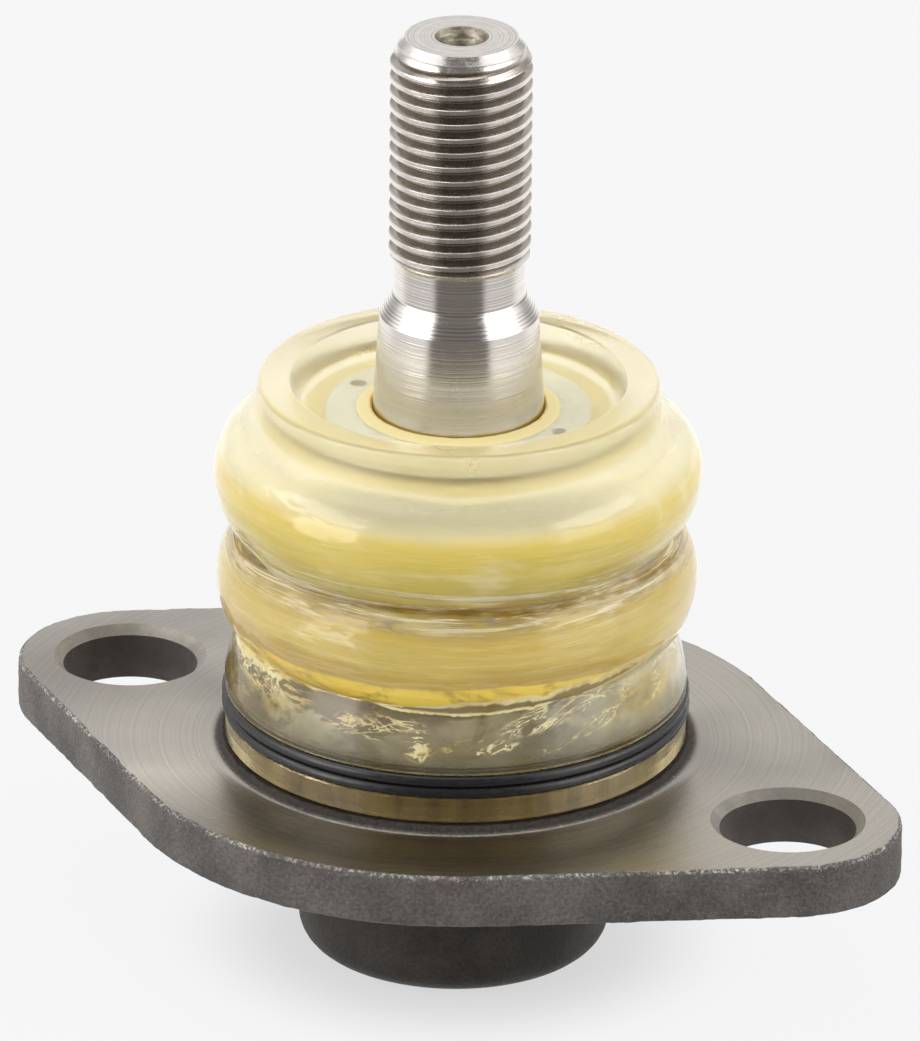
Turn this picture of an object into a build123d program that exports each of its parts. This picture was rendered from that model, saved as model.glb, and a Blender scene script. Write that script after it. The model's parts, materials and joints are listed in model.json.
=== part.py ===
from build123d import *
import os
from math import cos, radians, sin, sqrt, tan

# Suspension ball joint with a two-bolt flange, millimetres.
# The origin is on the stud's axis, in the flange's underside, which seats on the arm.
# +Z runs along the stud towards its thread, and X passes through both bolt holes.

# Flange and bolt holes
bolt_spacing = 76.0
bolt_hole_diameter = 13.5
bolt_hole_chamfer = 0.9
flange_ear_radius = 11.3
flange_disc_diameter = 67.0
flange_thickness = 5.5
flange_edge_radius = 0.4

# Ball and its swing
ball_diameter = 22.0
ball_below_face = 4.0
ball_flat_diameter = 7.0
swing_limit = 20.0
swing_clearance = 0.3

# Stud above the ball
neck_diameter = 11.6
neck_straight = 16.5
ball_to_taper = 34.0
taper_small_diameter = 15.8
taper_ratio = 8.0
taper_length = 15.0
shoulder_length = 2.4
relief_diameter = 13.1
relief_length = 4.3
thread_diameter = 14.0
thread_length = 23.2
tip_diameter = 11.0
centre_drill_diameter = 4.8
centre_drill_pilot = 2.0
centre_drill_depth = 5.0

# Seats round the ball, and the spring below them
ball_running_clearance = 0.05
seat_wall = 1.8
seat_floor = 1.8
seat_lip = 1.7
seat_split = 0.5
seat_grease_hole = 6.0
grease_groove_count = 4
grease_groove_radius = 0.7
spring_inner_diameter = 13.0
spring_thickness = 1.0
spring_cone = 0.7
assembly_clearance = 0.03

# Housing walls
cup_wall = 2.62
cup_floor = 3.0
cup_edge_radius = 3.0
cup_root_radius = 1.5
collar_wall = 4.5
collar_edge = 0.8
boss_step = 2.1
boss_height = 1.3
boss_fillet = 1.2

# Closing ring under the rolled edge of the collar
ring_step = 3.0
ring_thickness = 3.0
rolled_height = 3.7
rolled_overlap = 1.6

# Boot
boot_clearance = 0.25
boot_wall = 1.1
boot_base_wall = 2.3
boot_lip_gap = 0.2
boot_lip_height = 2.0
boot_bead_depth = 0.8
boot_bead_height = 2.2
base_straight = 3.4
base_taper_height = 3.3
lower_fold_height = 10.6
lower_fold_bulge = 2.1
upper_fold_below = 6.0
upper_fold_above = 5.6
upper_fold_bulge = 2.4
rim_diameter = 39.6
rim_wall = 3.2
rim_height = 3.8
dish_depth = 3.2
dish_slope = 1.2
web_thickness = 2.7
lip_wall = 1.3
lip_rise = 0.5
lip_reach = 4.5
lip_clearance = 0.1

# Rings that hold the boot
wire_diameter = 1.2
wire_proud = 0.3
wire_crossover_angle = 40.0
wire_crossover_steps = 6
wire_clearance = 0.05
insert_width = 3.2
insert_thickness = 1.5
insert_clearance = 0.1
insert_hole_diameter = 1.6
insert_hole_count = 4

# Radii and heights that follow from the sizes above
face_z = flange_thickness
ball_radius = ball_diameter / 2
ball_z = face_z - ball_below_face
socket_radius = ball_radius + ball_running_clearance
seat_radius = socket_radius + seat_wall
bore_radius = seat_radius + assembly_clearance
cup_radius = bore_radius + cup_wall
ring_radius = bore_radius + ring_step
collar_radius = ring_radius + collar_wall
boss_radius = collar_radius + boss_step
neck_radius = neck_diameter / 2
spring_radius = seat_radius - assembly_clearance

neck_angle = radians(swing_limit)


def neck_reach(height):
    """Radius that the neck sweeps at a height above the ball's centre, with room to spare."""
    return neck_radius / cos(neck_angle) + height * tan(neck_angle) + swing_clearance


def wrap_height():
    """Height at which the socket's sphere meets the cone that the neck sweeps."""
    start = neck_reach(0)
    slope = tan(neck_angle)
    square = 1 + slope * slope
    root = sqrt((start * slope) ** 2 + square * (socket_radius ** 2 - start ** 2))
    return (root - start * slope) / square


seat_top_z = ball_z + wrap_height() + seat_lip
ring_top_z = seat_top_z + ring_thickness
collar_top_z = ring_top_z + rolled_height
seat_bottom_z = ball_z - socket_radius - seat_floor
spring_height = spring_thickness + spring_cone
cup_floor_z = seat_bottom_z - spring_height - 2 * assembly_clearance
cup_bottom_z = cup_floor_z - cup_floor

boot_inner = collar_radius + boot_clearance
boot_outer = boot_inner + boot_base_wall
waist_radius = boot_inner + boot_wall
wire_radius = boot_outer + wire_proud - wire_diameter / 2
wire_groove_radius = wire_radius - wire_diameter / 2 - wire_clearance
wire_groove_height = 2 * wire_diameter + 2 * wire_clearance
collar_groove_radius = collar_radius - boot_bead_depth
boss_top_z = face_z + boss_height
boot_bottom_z = boss_top_z + boot_lip_gap
wire_groove_z = boot_bottom_z + boot_lip_height
wire_middle_z = wire_groove_z + wire_groove_height / 2
base_top_z = wire_groove_z + wire_groove_height + base_straight
lower_waist_z = base_top_z + base_taper_height
upper_waist_z = lower_waist_z + lower_fold_height
upper_crest_z = upper_waist_z + upper_fold_below
rim_root_z = upper_crest_z + upper_fold_above
rim_top_z = rim_root_z + rim_height
dish_z = rim_top_z - dish_depth
rim_radius = rim_diameter / 2

taper_base_z = ball_z + ball_to_taper
taper_top_z = taper_base_z + taper_length
shoulder_top_z = taper_top_z + shoulder_length
relief_top_z = shoulder_top_z + relief_length
stud_top_z = relief_top_z + thread_length


def taper_radius(z):
    """Radius of the stud's taper at a height."""
    return taper_small_diameter / 2 + (taper_top_z - z) / taper_ratio / 2


insert_inner = taper_radius(dish_z) + lip_clearance + lip_wall
insert_outer = insert_inner + insert_width


def arc_up(crest, end):
    """Arc that leaves a fold's crest vertically and rises to its end."""
    return TangentArc(crest, end, tangent=(0, 1))


def arc_down(crest, end):
    """Arc that leaves a fold's crest vertically and falls to its end."""
    return TangentArc(crest, end, tangent=(0, -1))


def turned(outline):
    """Solid turned from a closed outline of radius and height."""
    return revolve(Plane.XZ * make_face(outline), Axis.Z)


def polygon_turned(points):
    """Solid turned from straight lines through (radius, height) points."""
    return turned(Polyline(*points, close=True))


def make_housing():
    """Forged body: two-bolt flange, closed cup below it and collar above it."""
    disc = Circle(flange_disc_diameter / 2)
    ears = [loc * Circle(flange_ear_radius) for loc in GridLocations(bolt_spacing, 0, 2, 1)]
    plan = make_hull(Sketch([disc, *ears]).edges())
    flange = extrude(plan, flange_thickness)
    flange = fillet(edges_at(flange, 0) + edges_at(flange, face_z), flange_edge_radius)

    cup = Pos(0, 0, cup_bottom_z) * Cylinder(
        cup_radius, face_z - cup_bottom_z, align=(Align.CENTER, Align.CENTER, Align.MIN)
    )
    cup = fillet(cup.edges().sort_by(Axis.Z)[0], cup_edge_radius)

    body = flange + cup + collar_outside()
    body = fillet(cup_root(body), cup_root_radius)
    body -= cavity()
    for place in GridLocations(bolt_spacing, 0, 2, 1):
        body -= place * bolt_hole()
    return body


def edges_at(solid, z):
    """Edges of a solid that lie level at one height."""
    low = z - assembly_clearance
    high = z + assembly_clearance
    return solid.edges().filter_by_position(Axis.Z, low, high)


def cup_root(body):
    """The edge where the cup's wall meets the flange's underside."""
    edges = edges_at(body, 0).filter_by(GeomType.CIRCLE)
    return [edge for edge in edges if abs(edge.radius - cup_radius) < assembly_clearance]


def collar_outside():
    """Boss with its fillet, boot groove and collar, as one turned solid."""
    groove_z = wire_middle_z - boot_bead_height / 2 - boot_clearance
    groove_top_z = wire_middle_z + boot_bead_height / 2 + boot_clearance
    foot = face_z / 2
    fillet_radius = boss_radius + boss_fillet
    fillet_top_z = face_z + boss_fillet
    outline = Polyline((0, foot), (fillet_radius, foot), (fillet_radius, face_z))
    outline += RadiusArc((fillet_radius, face_z), (boss_radius, fillet_top_z), boss_fillet)
    outline += Polyline(
        (boss_radius, fillet_top_z),
        (boss_radius, boss_top_z),
        (collar_radius, boss_top_z),
        (collar_radius, groove_z),
        (collar_groove_radius, groove_z),
        (collar_groove_radius, groove_top_z),
        (collar_radius, groove_top_z),
        (collar_radius, collar_top_z - collar_edge),
        (collar_radius - collar_edge, collar_top_z),
        (0, collar_top_z),
        (0, foot),
    )
    return turned(outline)


def cavity():
    """Stepped bore for the spring, seats, ball and closing ring, open at the collar's top."""
    ring_bore = ring_radius + assembly_clearance
    lip_radius = ring_radius - rolled_overlap
    return polygon_turned([
        (0, cup_floor_z),
        (bore_radius, cup_floor_z),
        (bore_radius, seat_top_z),
        (ring_bore, seat_top_z),
        (ring_bore, ring_top_z + assembly_clearance),
        (lip_radius, ring_top_z + assembly_clearance),
        (lip_radius, collar_top_z - rolled_overlap / 2),
        (lip_radius + rolled_overlap / 2, collar_top_z),
        (lip_radius + rolled_overlap / 2, collar_top_z + collar_edge),
        (0, collar_top_z + collar_edge),
    ])


def bolt_hole():
    """Through hole with a chamfer at its upper mouth."""
    radius = bolt_hole_diameter / 2
    return polygon_turned([
        (0, 0),
        (radius, 0),
        (radius, face_z - bolt_hole_chamfer),
        (radius + bolt_hole_chamfer, face_z),
        (0, face_z),
    ])


def make_ball_stud():
    """Turned stud: ball, neck, taper, relief, thread diameter and centre-drilled end."""
    ball_flat = ball_flat_diameter / 2
    flat_z = ball_z - sqrt(ball_radius ** 2 - ball_flat ** 2)
    neck_z = ball_z + sqrt(ball_radius ** 2 - neck_radius ** 2)
    thread_radius = thread_diameter / 2
    tip_radius = tip_diameter / 2
    drill_radius = centre_drill_diameter / 2
    pilot_radius = centre_drill_pilot / 2
    drill_cone = (drill_radius - pilot_radius) / tan(radians(30))
    outline = ThreePointArc((ball_flat, flat_z), (ball_radius, ball_z), (neck_radius, neck_z))
    outline += Polyline(
        (neck_radius, neck_z),
        (neck_radius, ball_z + neck_straight),
        (taper_radius(taper_base_z), taper_base_z),
        (taper_radius(taper_top_z), taper_top_z),
        (relief_diameter / 2, shoulder_top_z),
        (relief_diameter / 2, relief_top_z),
        (thread_radius, relief_top_z + thread_radius - relief_diameter / 2),
        (thread_radius, stud_top_z - thread_radius + tip_radius),
        (tip_radius, stud_top_z),
        (drill_radius, stud_top_z),
        (pilot_radius, stud_top_z - drill_cone),
        (pilot_radius, stud_top_z - centre_drill_depth),
        (0, stud_top_z - centre_drill_depth - pilot_radius),
        (0, flat_z),
        (ball_flat, flat_z),
    )
    return turned(outline)


def make_upper_seat():
    """Plastic seat that wraps over the ball as far as the neck's swing leaves room."""
    wrap = wrap_height()
    low_z = ball_z + seat_split / 2
    low_radius = sqrt(socket_radius ** 2 - (seat_split / 2) ** 2)
    wrap_radius = sqrt(socket_radius ** 2 - wrap ** 2)
    middle = (wrap + seat_split / 2) / 2
    middle_radius = sqrt(socket_radius ** 2 - middle ** 2)
    outline = ThreePointArc(
        (low_radius, low_z), (middle_radius, ball_z + middle), (wrap_radius, ball_z + wrap)
    )
    outline += Polyline(
        (wrap_radius, ball_z + wrap),
        (neck_reach(wrap + seat_lip), seat_top_z),
        (seat_radius, seat_top_z),
        (seat_radius, low_z),
        (low_radius, low_z),
    )
    return turned(outline)


def make_lower_seat():
    """Plastic cup under the ball with a grease hole and grease grooves."""
    high_z = ball_z - seat_split / 2
    high_radius = sqrt(socket_radius ** 2 - (seat_split / 2) ** 2)
    hole_radius = seat_grease_hole / 2
    hole_z = ball_z - sqrt(socket_radius ** 2 - hole_radius ** 2)
    diagonal = socket_radius / sqrt(2)
    outline = ThreePointArc(
        (high_radius, high_z), (diagonal, ball_z - diagonal), (hole_radius, hole_z)
    )
    outline += Polyline(
        (hole_radius, hole_z),
        (hole_radius, seat_bottom_z),
        (seat_radius, seat_bottom_z),
        (seat_radius, high_z),
        (high_radius, high_z),
    )
    seat = turned(outline)
    groove_path = Pos(0, 0, ball_z) * Rot(90, 0, 0) * Torus(socket_radius, grease_groove_radius)
    groove_zone = Pos(0, 0, high_z) * Box(
        2 * seat_radius, 2 * seat_radius, 2 * seat_radius,
        align=(Align.MIN, Align.CENTER, Align.MAX)
    )
    groove = groove_path & groove_zone
    for place in PolarLocations(0, grease_groove_count):
        seat -= place * groove
    return seat


def make_disc_spring():
    """Conical disc spring that presses the lower seat up against the ball."""
    inner = spring_inner_diameter / 2
    floor_z = cup_floor_z + assembly_clearance
    return polygon_turned([
        (spring_radius, floor_z),
        (spring_radius, floor_z + spring_thickness),
        (inner, floor_z + spring_height),
        (inner, floor_z + spring_cone),
    ])


def make_closing_ring():
    """Steel ring on the upper seat, with a conical bore that clears the swinging neck."""
    low = ring_top_z - ring_thickness - ball_z
    high = ring_top_z - ball_z
    return polygon_turned([
        (neck_reach(low), seat_top_z),
        (ring_radius, seat_top_z),
        (ring_radius, ring_top_z),
        (neck_reach(high), ring_top_z),
    ])


def make_boot():
    """Pleated boot: lip on the collar, wire groove, two folds, dished top and stud lip."""
    lower_crest_z = (lower_waist_z + upper_waist_z) / 2
    lower_crest = (waist_radius + lower_fold_bulge, lower_crest_z)
    upper_crest = (waist_radius + upper_fold_bulge, upper_crest_z)
    lower_inside = (lower_crest[0] - boot_wall, lower_crest_z)
    upper_inside = (upper_crest[0] - boot_wall, upper_crest_z)
    waist_inside = waist_radius - boot_wall
    web_z = dish_z - web_thickness
    web_edge = rim_radius - boot_wall
    pocket_in = insert_inner - insert_clearance
    pocket_out = insert_outer + insert_clearance
    pocket_z = dish_z - insert_thickness - insert_clearance
    lip_top_z = dish_z + lip_rise
    lip_bottom_z = dish_z - lip_reach
    lip_top_radius = taper_radius(lip_top_z) + lip_clearance
    lip_bottom_radius = taper_radius(lip_bottom_z) + lip_clearance
    lip_outer = lip_bottom_radius + lip_wall
    bead_radius = collar_groove_radius + boot_clearance
    bead_z = wire_middle_z - boot_bead_height / 2
    bead_top_z = wire_middle_z + boot_bead_height / 2
    groove_top_z = wire_groove_z + wire_groove_height

    outline = Polyline(
        (boot_inner, boot_bottom_z),
        (boot_outer, boot_bottom_z),
        (boot_outer, wire_groove_z),
        (wire_groove_radius, wire_groove_z),
        (wire_groove_radius, groove_top_z),
        (boot_outer, groove_top_z),
        (boot_outer, base_top_z - base_straight / 2),
        (waist_radius, lower_waist_z),
    )
    outline += arc_down(lower_crest, (waist_radius, lower_waist_z))
    outline += arc_up(lower_crest, (waist_radius, upper_waist_z))
    outline += arc_down(upper_crest, (waist_radius, upper_waist_z))
    outline += arc_up(upper_crest, (rim_radius, rim_root_z))
    outline += Polyline(
        (rim_radius, rim_root_z),
        (rim_radius, rim_top_z),
        (rim_radius - rim_wall, rim_top_z),
        (rim_radius - rim_wall - dish_slope, dish_z),
        (pocket_out, dish_z),
        (pocket_out, pocket_z),
        (pocket_in, pocket_z),
        (pocket_in, lip_top_z),
        (lip_top_radius, lip_top_z),
        (lip_bottom_radius, lip_bottom_z),
        (lip_outer, lip_bottom_z),
        (lip_outer, web_z),
        (web_edge, web_z),
    )
    outline += arc_up(upper_inside, (web_edge, web_z))
    outline += arc_down(upper_inside, (waist_inside, upper_waist_z))
    outline += arc_up(lower_inside, (waist_inside, upper_waist_z))
    outline += arc_down(lower_inside, (waist_inside, lower_waist_z))
    outline += Polyline(
        (waist_inside, lower_waist_z),
        (boot_inner, bead_top_z),
        (bead_radius, bead_top_z),
        (bead_radius, bead_z),
        (boot_inner, bead_z),
        (boot_inner, boot_bottom_z),
    )
    return turned(outline)


def make_insert_ring():
    """Flat steel ring in the boot's dish that keeps the lip tight on the stud."""
    low_z = dish_z - insert_thickness
    ring = polygon_turned([
        (insert_inner, low_z),
        (insert_outer, low_z),
        (insert_outer, dish_z),
        (insert_inner, dish_z),
    ])
    hole_circle = (insert_inner + insert_outer) / 2
    pin = Cylinder(insert_hole_diameter / 2, 3 * insert_thickness)
    for place in PolarLocations(hole_circle, insert_hole_count):
        ring -= Pos(0, 0, dish_z) * place * pin
    return ring


def crossover_point(share):
    """Point on the wire's crossover, which climbs one wire smoothly as it turns."""
    angle = radians(90 + wire_crossover_angle * (share - 0.5))
    climb = share * share * (3 - 2 * share) - 0.5
    return Vector(
        wire_radius * cos(angle), wire_radius * sin(angle), wire_middle_z + climb * wire_diameter
    )


def make_wire_ring():
    """Sprung wire ring of two level turns, with one crossover at the back of the collar."""
    start = 90 + wire_crossover_angle / 2
    turn = Edge.make_circle(wire_radius, Plane.XY, start, start + 360 - wire_crossover_angle)
    lower = Pos(0, 0, wire_middle_z - wire_diameter / 2) * turn
    upper = Pos(0, 0, wire_middle_z + wire_diameter / 2) * turn
    points = [crossover_point(step / wire_crossover_steps) for step in range(wire_crossover_steps + 1)]
    crossover = Edge.make_spline(points, tangents=[lower % 1, upper % 0])
    centre_line = Wire([lower, crossover, upper])
    section = Plane(origin=centre_line @ 0, z_dir=centre_line % 0) * Circle(wire_diameter / 2)
    return sweep(section, path=centre_line)


def main():
    parts = {
        "housing": make_housing(),
        "closing_ring": make_closing_ring(),
        "upper_seat": make_upper_seat(),
        "lower_seat": make_lower_seat(),
        "disc_spring": make_disc_spring(),
        "ball_stud": make_ball_stud(),
        "boot": make_boot(),
        "boot_insert_ring": make_insert_ring(),
        "boot_wire_ring": make_wire_ring(),
    }
    os.makedirs("parts", exist_ok=True)
    for name, part in parts.items():
        export_step(part, f"parts/{name}.step")


main()
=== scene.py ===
import json
import math

import bpy
from mathutils import Matrix, Vector


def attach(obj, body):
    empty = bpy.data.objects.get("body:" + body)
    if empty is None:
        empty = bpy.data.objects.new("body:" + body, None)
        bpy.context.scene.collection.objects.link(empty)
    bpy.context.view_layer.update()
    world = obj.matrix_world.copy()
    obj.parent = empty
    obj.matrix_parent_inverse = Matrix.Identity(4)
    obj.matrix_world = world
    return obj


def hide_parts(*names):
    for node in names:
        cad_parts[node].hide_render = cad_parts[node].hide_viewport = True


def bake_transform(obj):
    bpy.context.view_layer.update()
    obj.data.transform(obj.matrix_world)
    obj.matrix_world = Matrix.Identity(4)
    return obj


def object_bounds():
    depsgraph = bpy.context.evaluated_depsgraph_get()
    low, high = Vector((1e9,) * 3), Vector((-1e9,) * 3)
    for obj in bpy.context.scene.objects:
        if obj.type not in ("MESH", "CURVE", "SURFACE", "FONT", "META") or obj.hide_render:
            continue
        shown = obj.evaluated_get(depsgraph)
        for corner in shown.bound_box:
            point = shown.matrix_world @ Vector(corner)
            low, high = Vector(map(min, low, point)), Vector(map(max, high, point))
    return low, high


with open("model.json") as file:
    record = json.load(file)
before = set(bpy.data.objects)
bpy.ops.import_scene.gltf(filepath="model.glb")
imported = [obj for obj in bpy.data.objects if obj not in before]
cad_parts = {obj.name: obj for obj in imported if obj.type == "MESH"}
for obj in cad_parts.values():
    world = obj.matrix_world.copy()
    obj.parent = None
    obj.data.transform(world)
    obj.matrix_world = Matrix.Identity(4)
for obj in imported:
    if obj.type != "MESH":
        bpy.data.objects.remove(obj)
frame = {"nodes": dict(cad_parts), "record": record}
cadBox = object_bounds()

mm = 0.001
full = 2 * math.pi
record = frame["record"]
mountPlaces = {mount["name"]: mount["pos_m"] for mount in record["mounts"]}
faceZ = mountPlaces["flange_face"][2]  # top of the flange
floorZ = cadBox[0].z  # the cup's closed bottom stands on the floor
frontAzimuth = 30.38  # degrees from the front to the side that the photo shows


# Small helpers for modelling by hand

def deselectAll():
    if bpy.context.object and bpy.context.object.mode != "OBJECT":
        bpy.ops.object.mode_set(mode="OBJECT")
    bpy.ops.object.select_all(action="DESELECT")


def startPiece(name):
    piece = bpy.context.object
    piece.name = name
    piece.data.name = name
    return piece


def finishPiece(piece, sharpAngle):
    pick(piece)
    bpy.ops.object.transform_apply(location=True, rotation=True, scale=True)
    bpy.ops.object.shade_smooth_by_angle(angle=math.radians(sharpAngle))
    weighted = piece.modifiers.new("flatFaces", "WEIGHTED_NORMAL")
    weighted.keep_sharp = True
    bpy.ops.object.modifier_apply(modifier=weighted.name)
    deselectAll()
    return piece


def pick(piece):
    deselectAll()
    piece.select_set(True)
    bpy.context.view_layer.objects.active = piece


def applyAll(piece):
    pick(piece)
    for modifier in [item.name for item in piece.modifiers]:
        bpy.ops.object.modifier_apply(modifier=modifier)


def editMode():
    bpy.ops.object.mode_set(mode="EDIT")
    bpy.ops.mesh.select_all(action="SELECT")


def objectMode():
    bpy.ops.object.mode_set(mode="OBJECT")


def drawPath(name, places):
    # one vertex is extruded from place to place, and the piece stays in edit mode
    deselectAll()
    bpy.ops.mesh.primitive_plane_add(size=mm, location=(0, 0, 0))
    piece = startPiece(name)
    editMode()
    bpy.ops.mesh.merge(type="CENTER")
    bpy.ops.transform.translate(value=places[0])
    for start, end in zip(places, places[1:]):
        move = tuple(b - a for a, b in zip(start, end))
        bpy.ops.mesh.extrude_vertices_move(TRANSFORM_OT_translate={"value": move})
    bpy.ops.mesh.select_all(action="SELECT")
    return piece


def closeMesh():
    # joins what lies together, turns the faces outwards and leaves edit mode
    bpy.ops.mesh.select_all(action="SELECT")
    bpy.ops.mesh.remove_doubles(threshold=0.002 * mm)
    bpy.ops.mesh.normals_make_consistent(inside=False)
    objectMode()


def turnedPiece(name, outline, steps):
    # the outline is spun round the stud's axis
    piece = drawPath(name, [(radius, 0.0, height) for radius, height in outline])
    bpy.ops.mesh.spin(steps=steps, angle=full, center=(0, 0, 0), axis=(0, 0, 1))
    closeMesh()
    return piece


def arcPoints(crest, end, count):
    # leaves the crest vertically and bends to the end, as a fold of the boot does
    inwards = crest[0] - end[0]
    rise = end[1] - crest[1]
    radius = (inwards ** 2 + rise ** 2) / (2 * inwards)
    turn = math.asin(rise / radius)
    angles = [turn * step / count for step in range(1, count + 1)]
    return [(crest[0] - radius + radius * math.cos(a), crest[1] + radius * math.sin(a)) for a in angles]


def bendPoints(start, corner, end, count):
    # a smooth bend from start to end that is drawn towards the corner
    points = []
    for step in range(1, count + 1):
        t = step / count
        shares = ((1 - t) ** 2, 2 * t * (1 - t), t ** 2)
        points.append(tuple(shares[0] * a + shares[1] * b + shares[2] * c for a, b, c in zip(start, corner, end)))
    return points


# Small helpers for materials

def newMaterial(name, base, roughness, metallic=0.0):
    material = bpy.data.materials.new(name)
    material.use_nodes = True
    shader = material.node_tree.nodes["Principled BSDF"]
    shader.inputs["Base Color"].default_value = (*base, 1)
    shader.inputs["Roughness"].default_value = roughness
    shader.inputs["Metallic"].default_value = metallic
    material.diffuse_color = (*base, 1)
    return material, material.node_tree, shader


def addNode(tree, kind, **settings):
    node = tree.nodes.new(kind)
    for key, value in settings.items():
        if hasattr(node, key):
            setattr(node, key, value)
        else:
            node.inputs[key].default_value = value
    return node


def mathNode(tree, operation, first, second=None):
    node = tree.nodes.new("ShaderNodeMath")
    node.operation = operation
    for socket, value in zip(node.inputs, (first, second)):
        if isinstance(value, (int, float)):
            socket.default_value = value
        elif value is not None:
            tree.links.new(value, socket)
    return node.outputs[0]


def times(tree, first, *others):
    for other in others:
        first = mathNode(tree, "MULTIPLY", first, other)
    return first


def plus(tree, first, *others):
    for other in others:
        first = mathNode(tree, "ADD", first, other)
    return first


def minus(tree, first, second):
    return mathNode(tree, "SUBTRACT", first, second)


def larger(tree, first, *others):
    for other in others:
        first = mathNode(tree, "MAXIMUM", first, other)
    return first


def distanceFrom(tree, value, level):
    return mathNode(tree, "ABSOLUTE", minus(tree, value, level))


def mapRange(tree, value, low, high, toLow=0.0, toHigh=1.0, smooth=True):
    node = tree.nodes.new("ShaderNodeMapRange")
    node.interpolation_type = "SMOOTHSTEP" if smooth else "LINEAR"
    tree.links.new(value, node.inputs["Value"])
    for key, number in (("From Min", low), ("From Max", high), ("To Min", toLow), ("To Max", toHigh)):
        node.inputs[key].default_value = number
    return node.outputs["Result"]


def mixColour(tree, factor, first, second, blend="MIX"):
    node = tree.nodes.new("ShaderNodeMix")
    node.data_type = "RGBA"
    node.blend_type = blend
    node.clamp_factor = True
    for socket, value in ((node.inputs[0], factor), (node.inputs[6], first), (node.inputs[7], second)):
        if isinstance(value, (int, float)):
            socket.default_value = value
        elif isinstance(value, tuple):
            socket.default_value = (*value, 1)
        else:
            tree.links.new(value, socket)
    return node.outputs[2]


def noise(tree, vector, scale, detail=2.0, roughness=0.5, distortion=0.0):
    node = addNode(tree, "ShaderNodeTexNoise", Scale=scale, Detail=detail, Roughness=roughness)
    node.inputs["Distortion"].default_value = distortion
    tree.links.new(vector, node.inputs["Vector"])
    return node.outputs["Fac"]


def scaled(tree, vector, x, y, z):
    node = tree.nodes.new("ShaderNodeMapping")
    node.inputs["Scale"].default_value = (x, y, z)
    tree.links.new(vector, node.inputs["Vector"])
    return node.outputs["Vector"]


def radiusAndHeight(tree, vector):
    split = tree.nodes.new("ShaderNodeSeparateXYZ")
    tree.links.new(vector, split.inputs[0])
    squareX = times(tree, split.outputs[0], split.outputs[0])
    squareY = times(tree, split.outputs[1], split.outputs[1])
    return mathNode(tree, "SQRT", plus(tree, squareX, squareY)), split.outputs[2]


def bump(tree, height, strength, distance):
    node = addNode(tree, "ShaderNodeBump", Strength=strength, Distance=distance)
    tree.links.new(height, node.inputs["Height"])
    return node.outputs["Normal"]


def setMaterial(piece, *materials):
    piece.data.materials.clear()
    for material in materials:
        piece.data.materials.append(material)


def newGroup(name, inputs, outputs):
    group = bpy.data.node_groups.new(name, "ShaderNodeTree")
    for key, kind, value in inputs:
        socket = group.interface.new_socket(key, in_out="INPUT", socket_type=kind)
        if value is not None:
            socket.default_value = value
    for key, kind in outputs:
        group.interface.new_socket(key, in_out="OUTPUT", socket_type=kind)
    entry = group.nodes.new("NodeGroupInput")
    result = group.nodes.new("NodeGroupOutput")
    return group, entry, result


def placeGroup(tree, group, vector, **values):
    node = tree.nodes.new("ShaderNodeGroup")
    node.node_tree = group
    tree.links.new(vector, node.inputs["Vector"])
    for key, value in values.items():
        node.inputs[key].default_value = value
    return node


# Effects that several materials share

def makeTurningMarks():
    # fine lathe marks: level lines on a shaft (Along 1) or rings on a face (Along 0)
    group, entry, result = newGroup(
        "turningMarks",
        [("Vector", "NodeSocketVector", None), ("Along", "NodeSocketFloat", 1.0),
         ("Lines", "NodeSocketFloat", 9000.0), ("Wander", "NodeSocketFloat", 0.00004)],
        [("Fine", "NodeSocketFloat"), ("Broad", "NodeSocketFloat")],
    )
    radius, height = radiusAndHeight(group, entry.outputs["Vector"])
    rest = minus(group, 1.0, entry.outputs["Along"])
    place = mathNode(
        group, "ADD",
        times(group, height, entry.outputs["Along"]),
        times(group, radius, rest),
    )
    wobble = minus(group, noise(group, entry.outputs["Vector"], 220.0, 2.0), 0.5)
    wobble = times(group, wobble, entry.outputs["Wander"])
    place = plus(group, place, wobble)
    for output, share in (("Fine", 1.0), ("Broad", 0.22)):
        lines = group.nodes.new("ShaderNodeTexNoise")
        lines.noise_dimensions = "1D"
        lines.inputs["Scale"].default_value = 1.0
        lines.inputs["Detail"].default_value = 3.0
        density = times(group, entry.outputs["Lines"], share)
        group.links.new(times(group, place, density), lines.inputs["W"])
        group.links.new(lines.outputs["Fac"], result.inputs[output])
    return group


def makeForgedGrain():
    # rough forged skin with light flecks where it has been knocked
    group, entry, result = newGroup(
        "forgedGrain",
        [("Vector", "NodeSocketVector", None), ("Size", "NodeSocketFloat", 2600.0)],
        [("Grain", "NodeSocketFloat"), ("Flecks", "NodeSocketFloat"), ("Clouds", "NodeSocketFloat")],
    )
    coarse = group.nodes.new("ShaderNodeTexNoise")
    coarse.inputs["Detail"].default_value = 5.0
    coarse.inputs["Roughness"].default_value = 0.65
    group.links.new(entry.outputs["Vector"], coarse.inputs["Vector"])
    group.links.new(entry.outputs["Size"], coarse.inputs["Scale"])
    group.links.new(coarse.outputs["Fac"], result.inputs["Grain"])
    fine = group.nodes.new("ShaderNodeTexNoise")
    fine.inputs["Detail"].default_value = 3.0
    group.links.new(entry.outputs["Vector"], fine.inputs["Vector"])
    group.links.new(times(group, entry.outputs["Size"], 1.9), fine.inputs["Scale"])
    group.links.new(mapRange(group, fine.outputs["Fac"], 0.6, 0.72), result.inputs["Flecks"])
    clouds = noise(group, entry.outputs["Vector"], 130.0, 3.0, 0.55)
    group.links.new(clouds, result.inputs["Clouds"])
    return group


turningMarks = makeTurningMarks()
forgedGrain = makeForgedGrain()
print("shared effects: made")


# Materials

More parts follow.
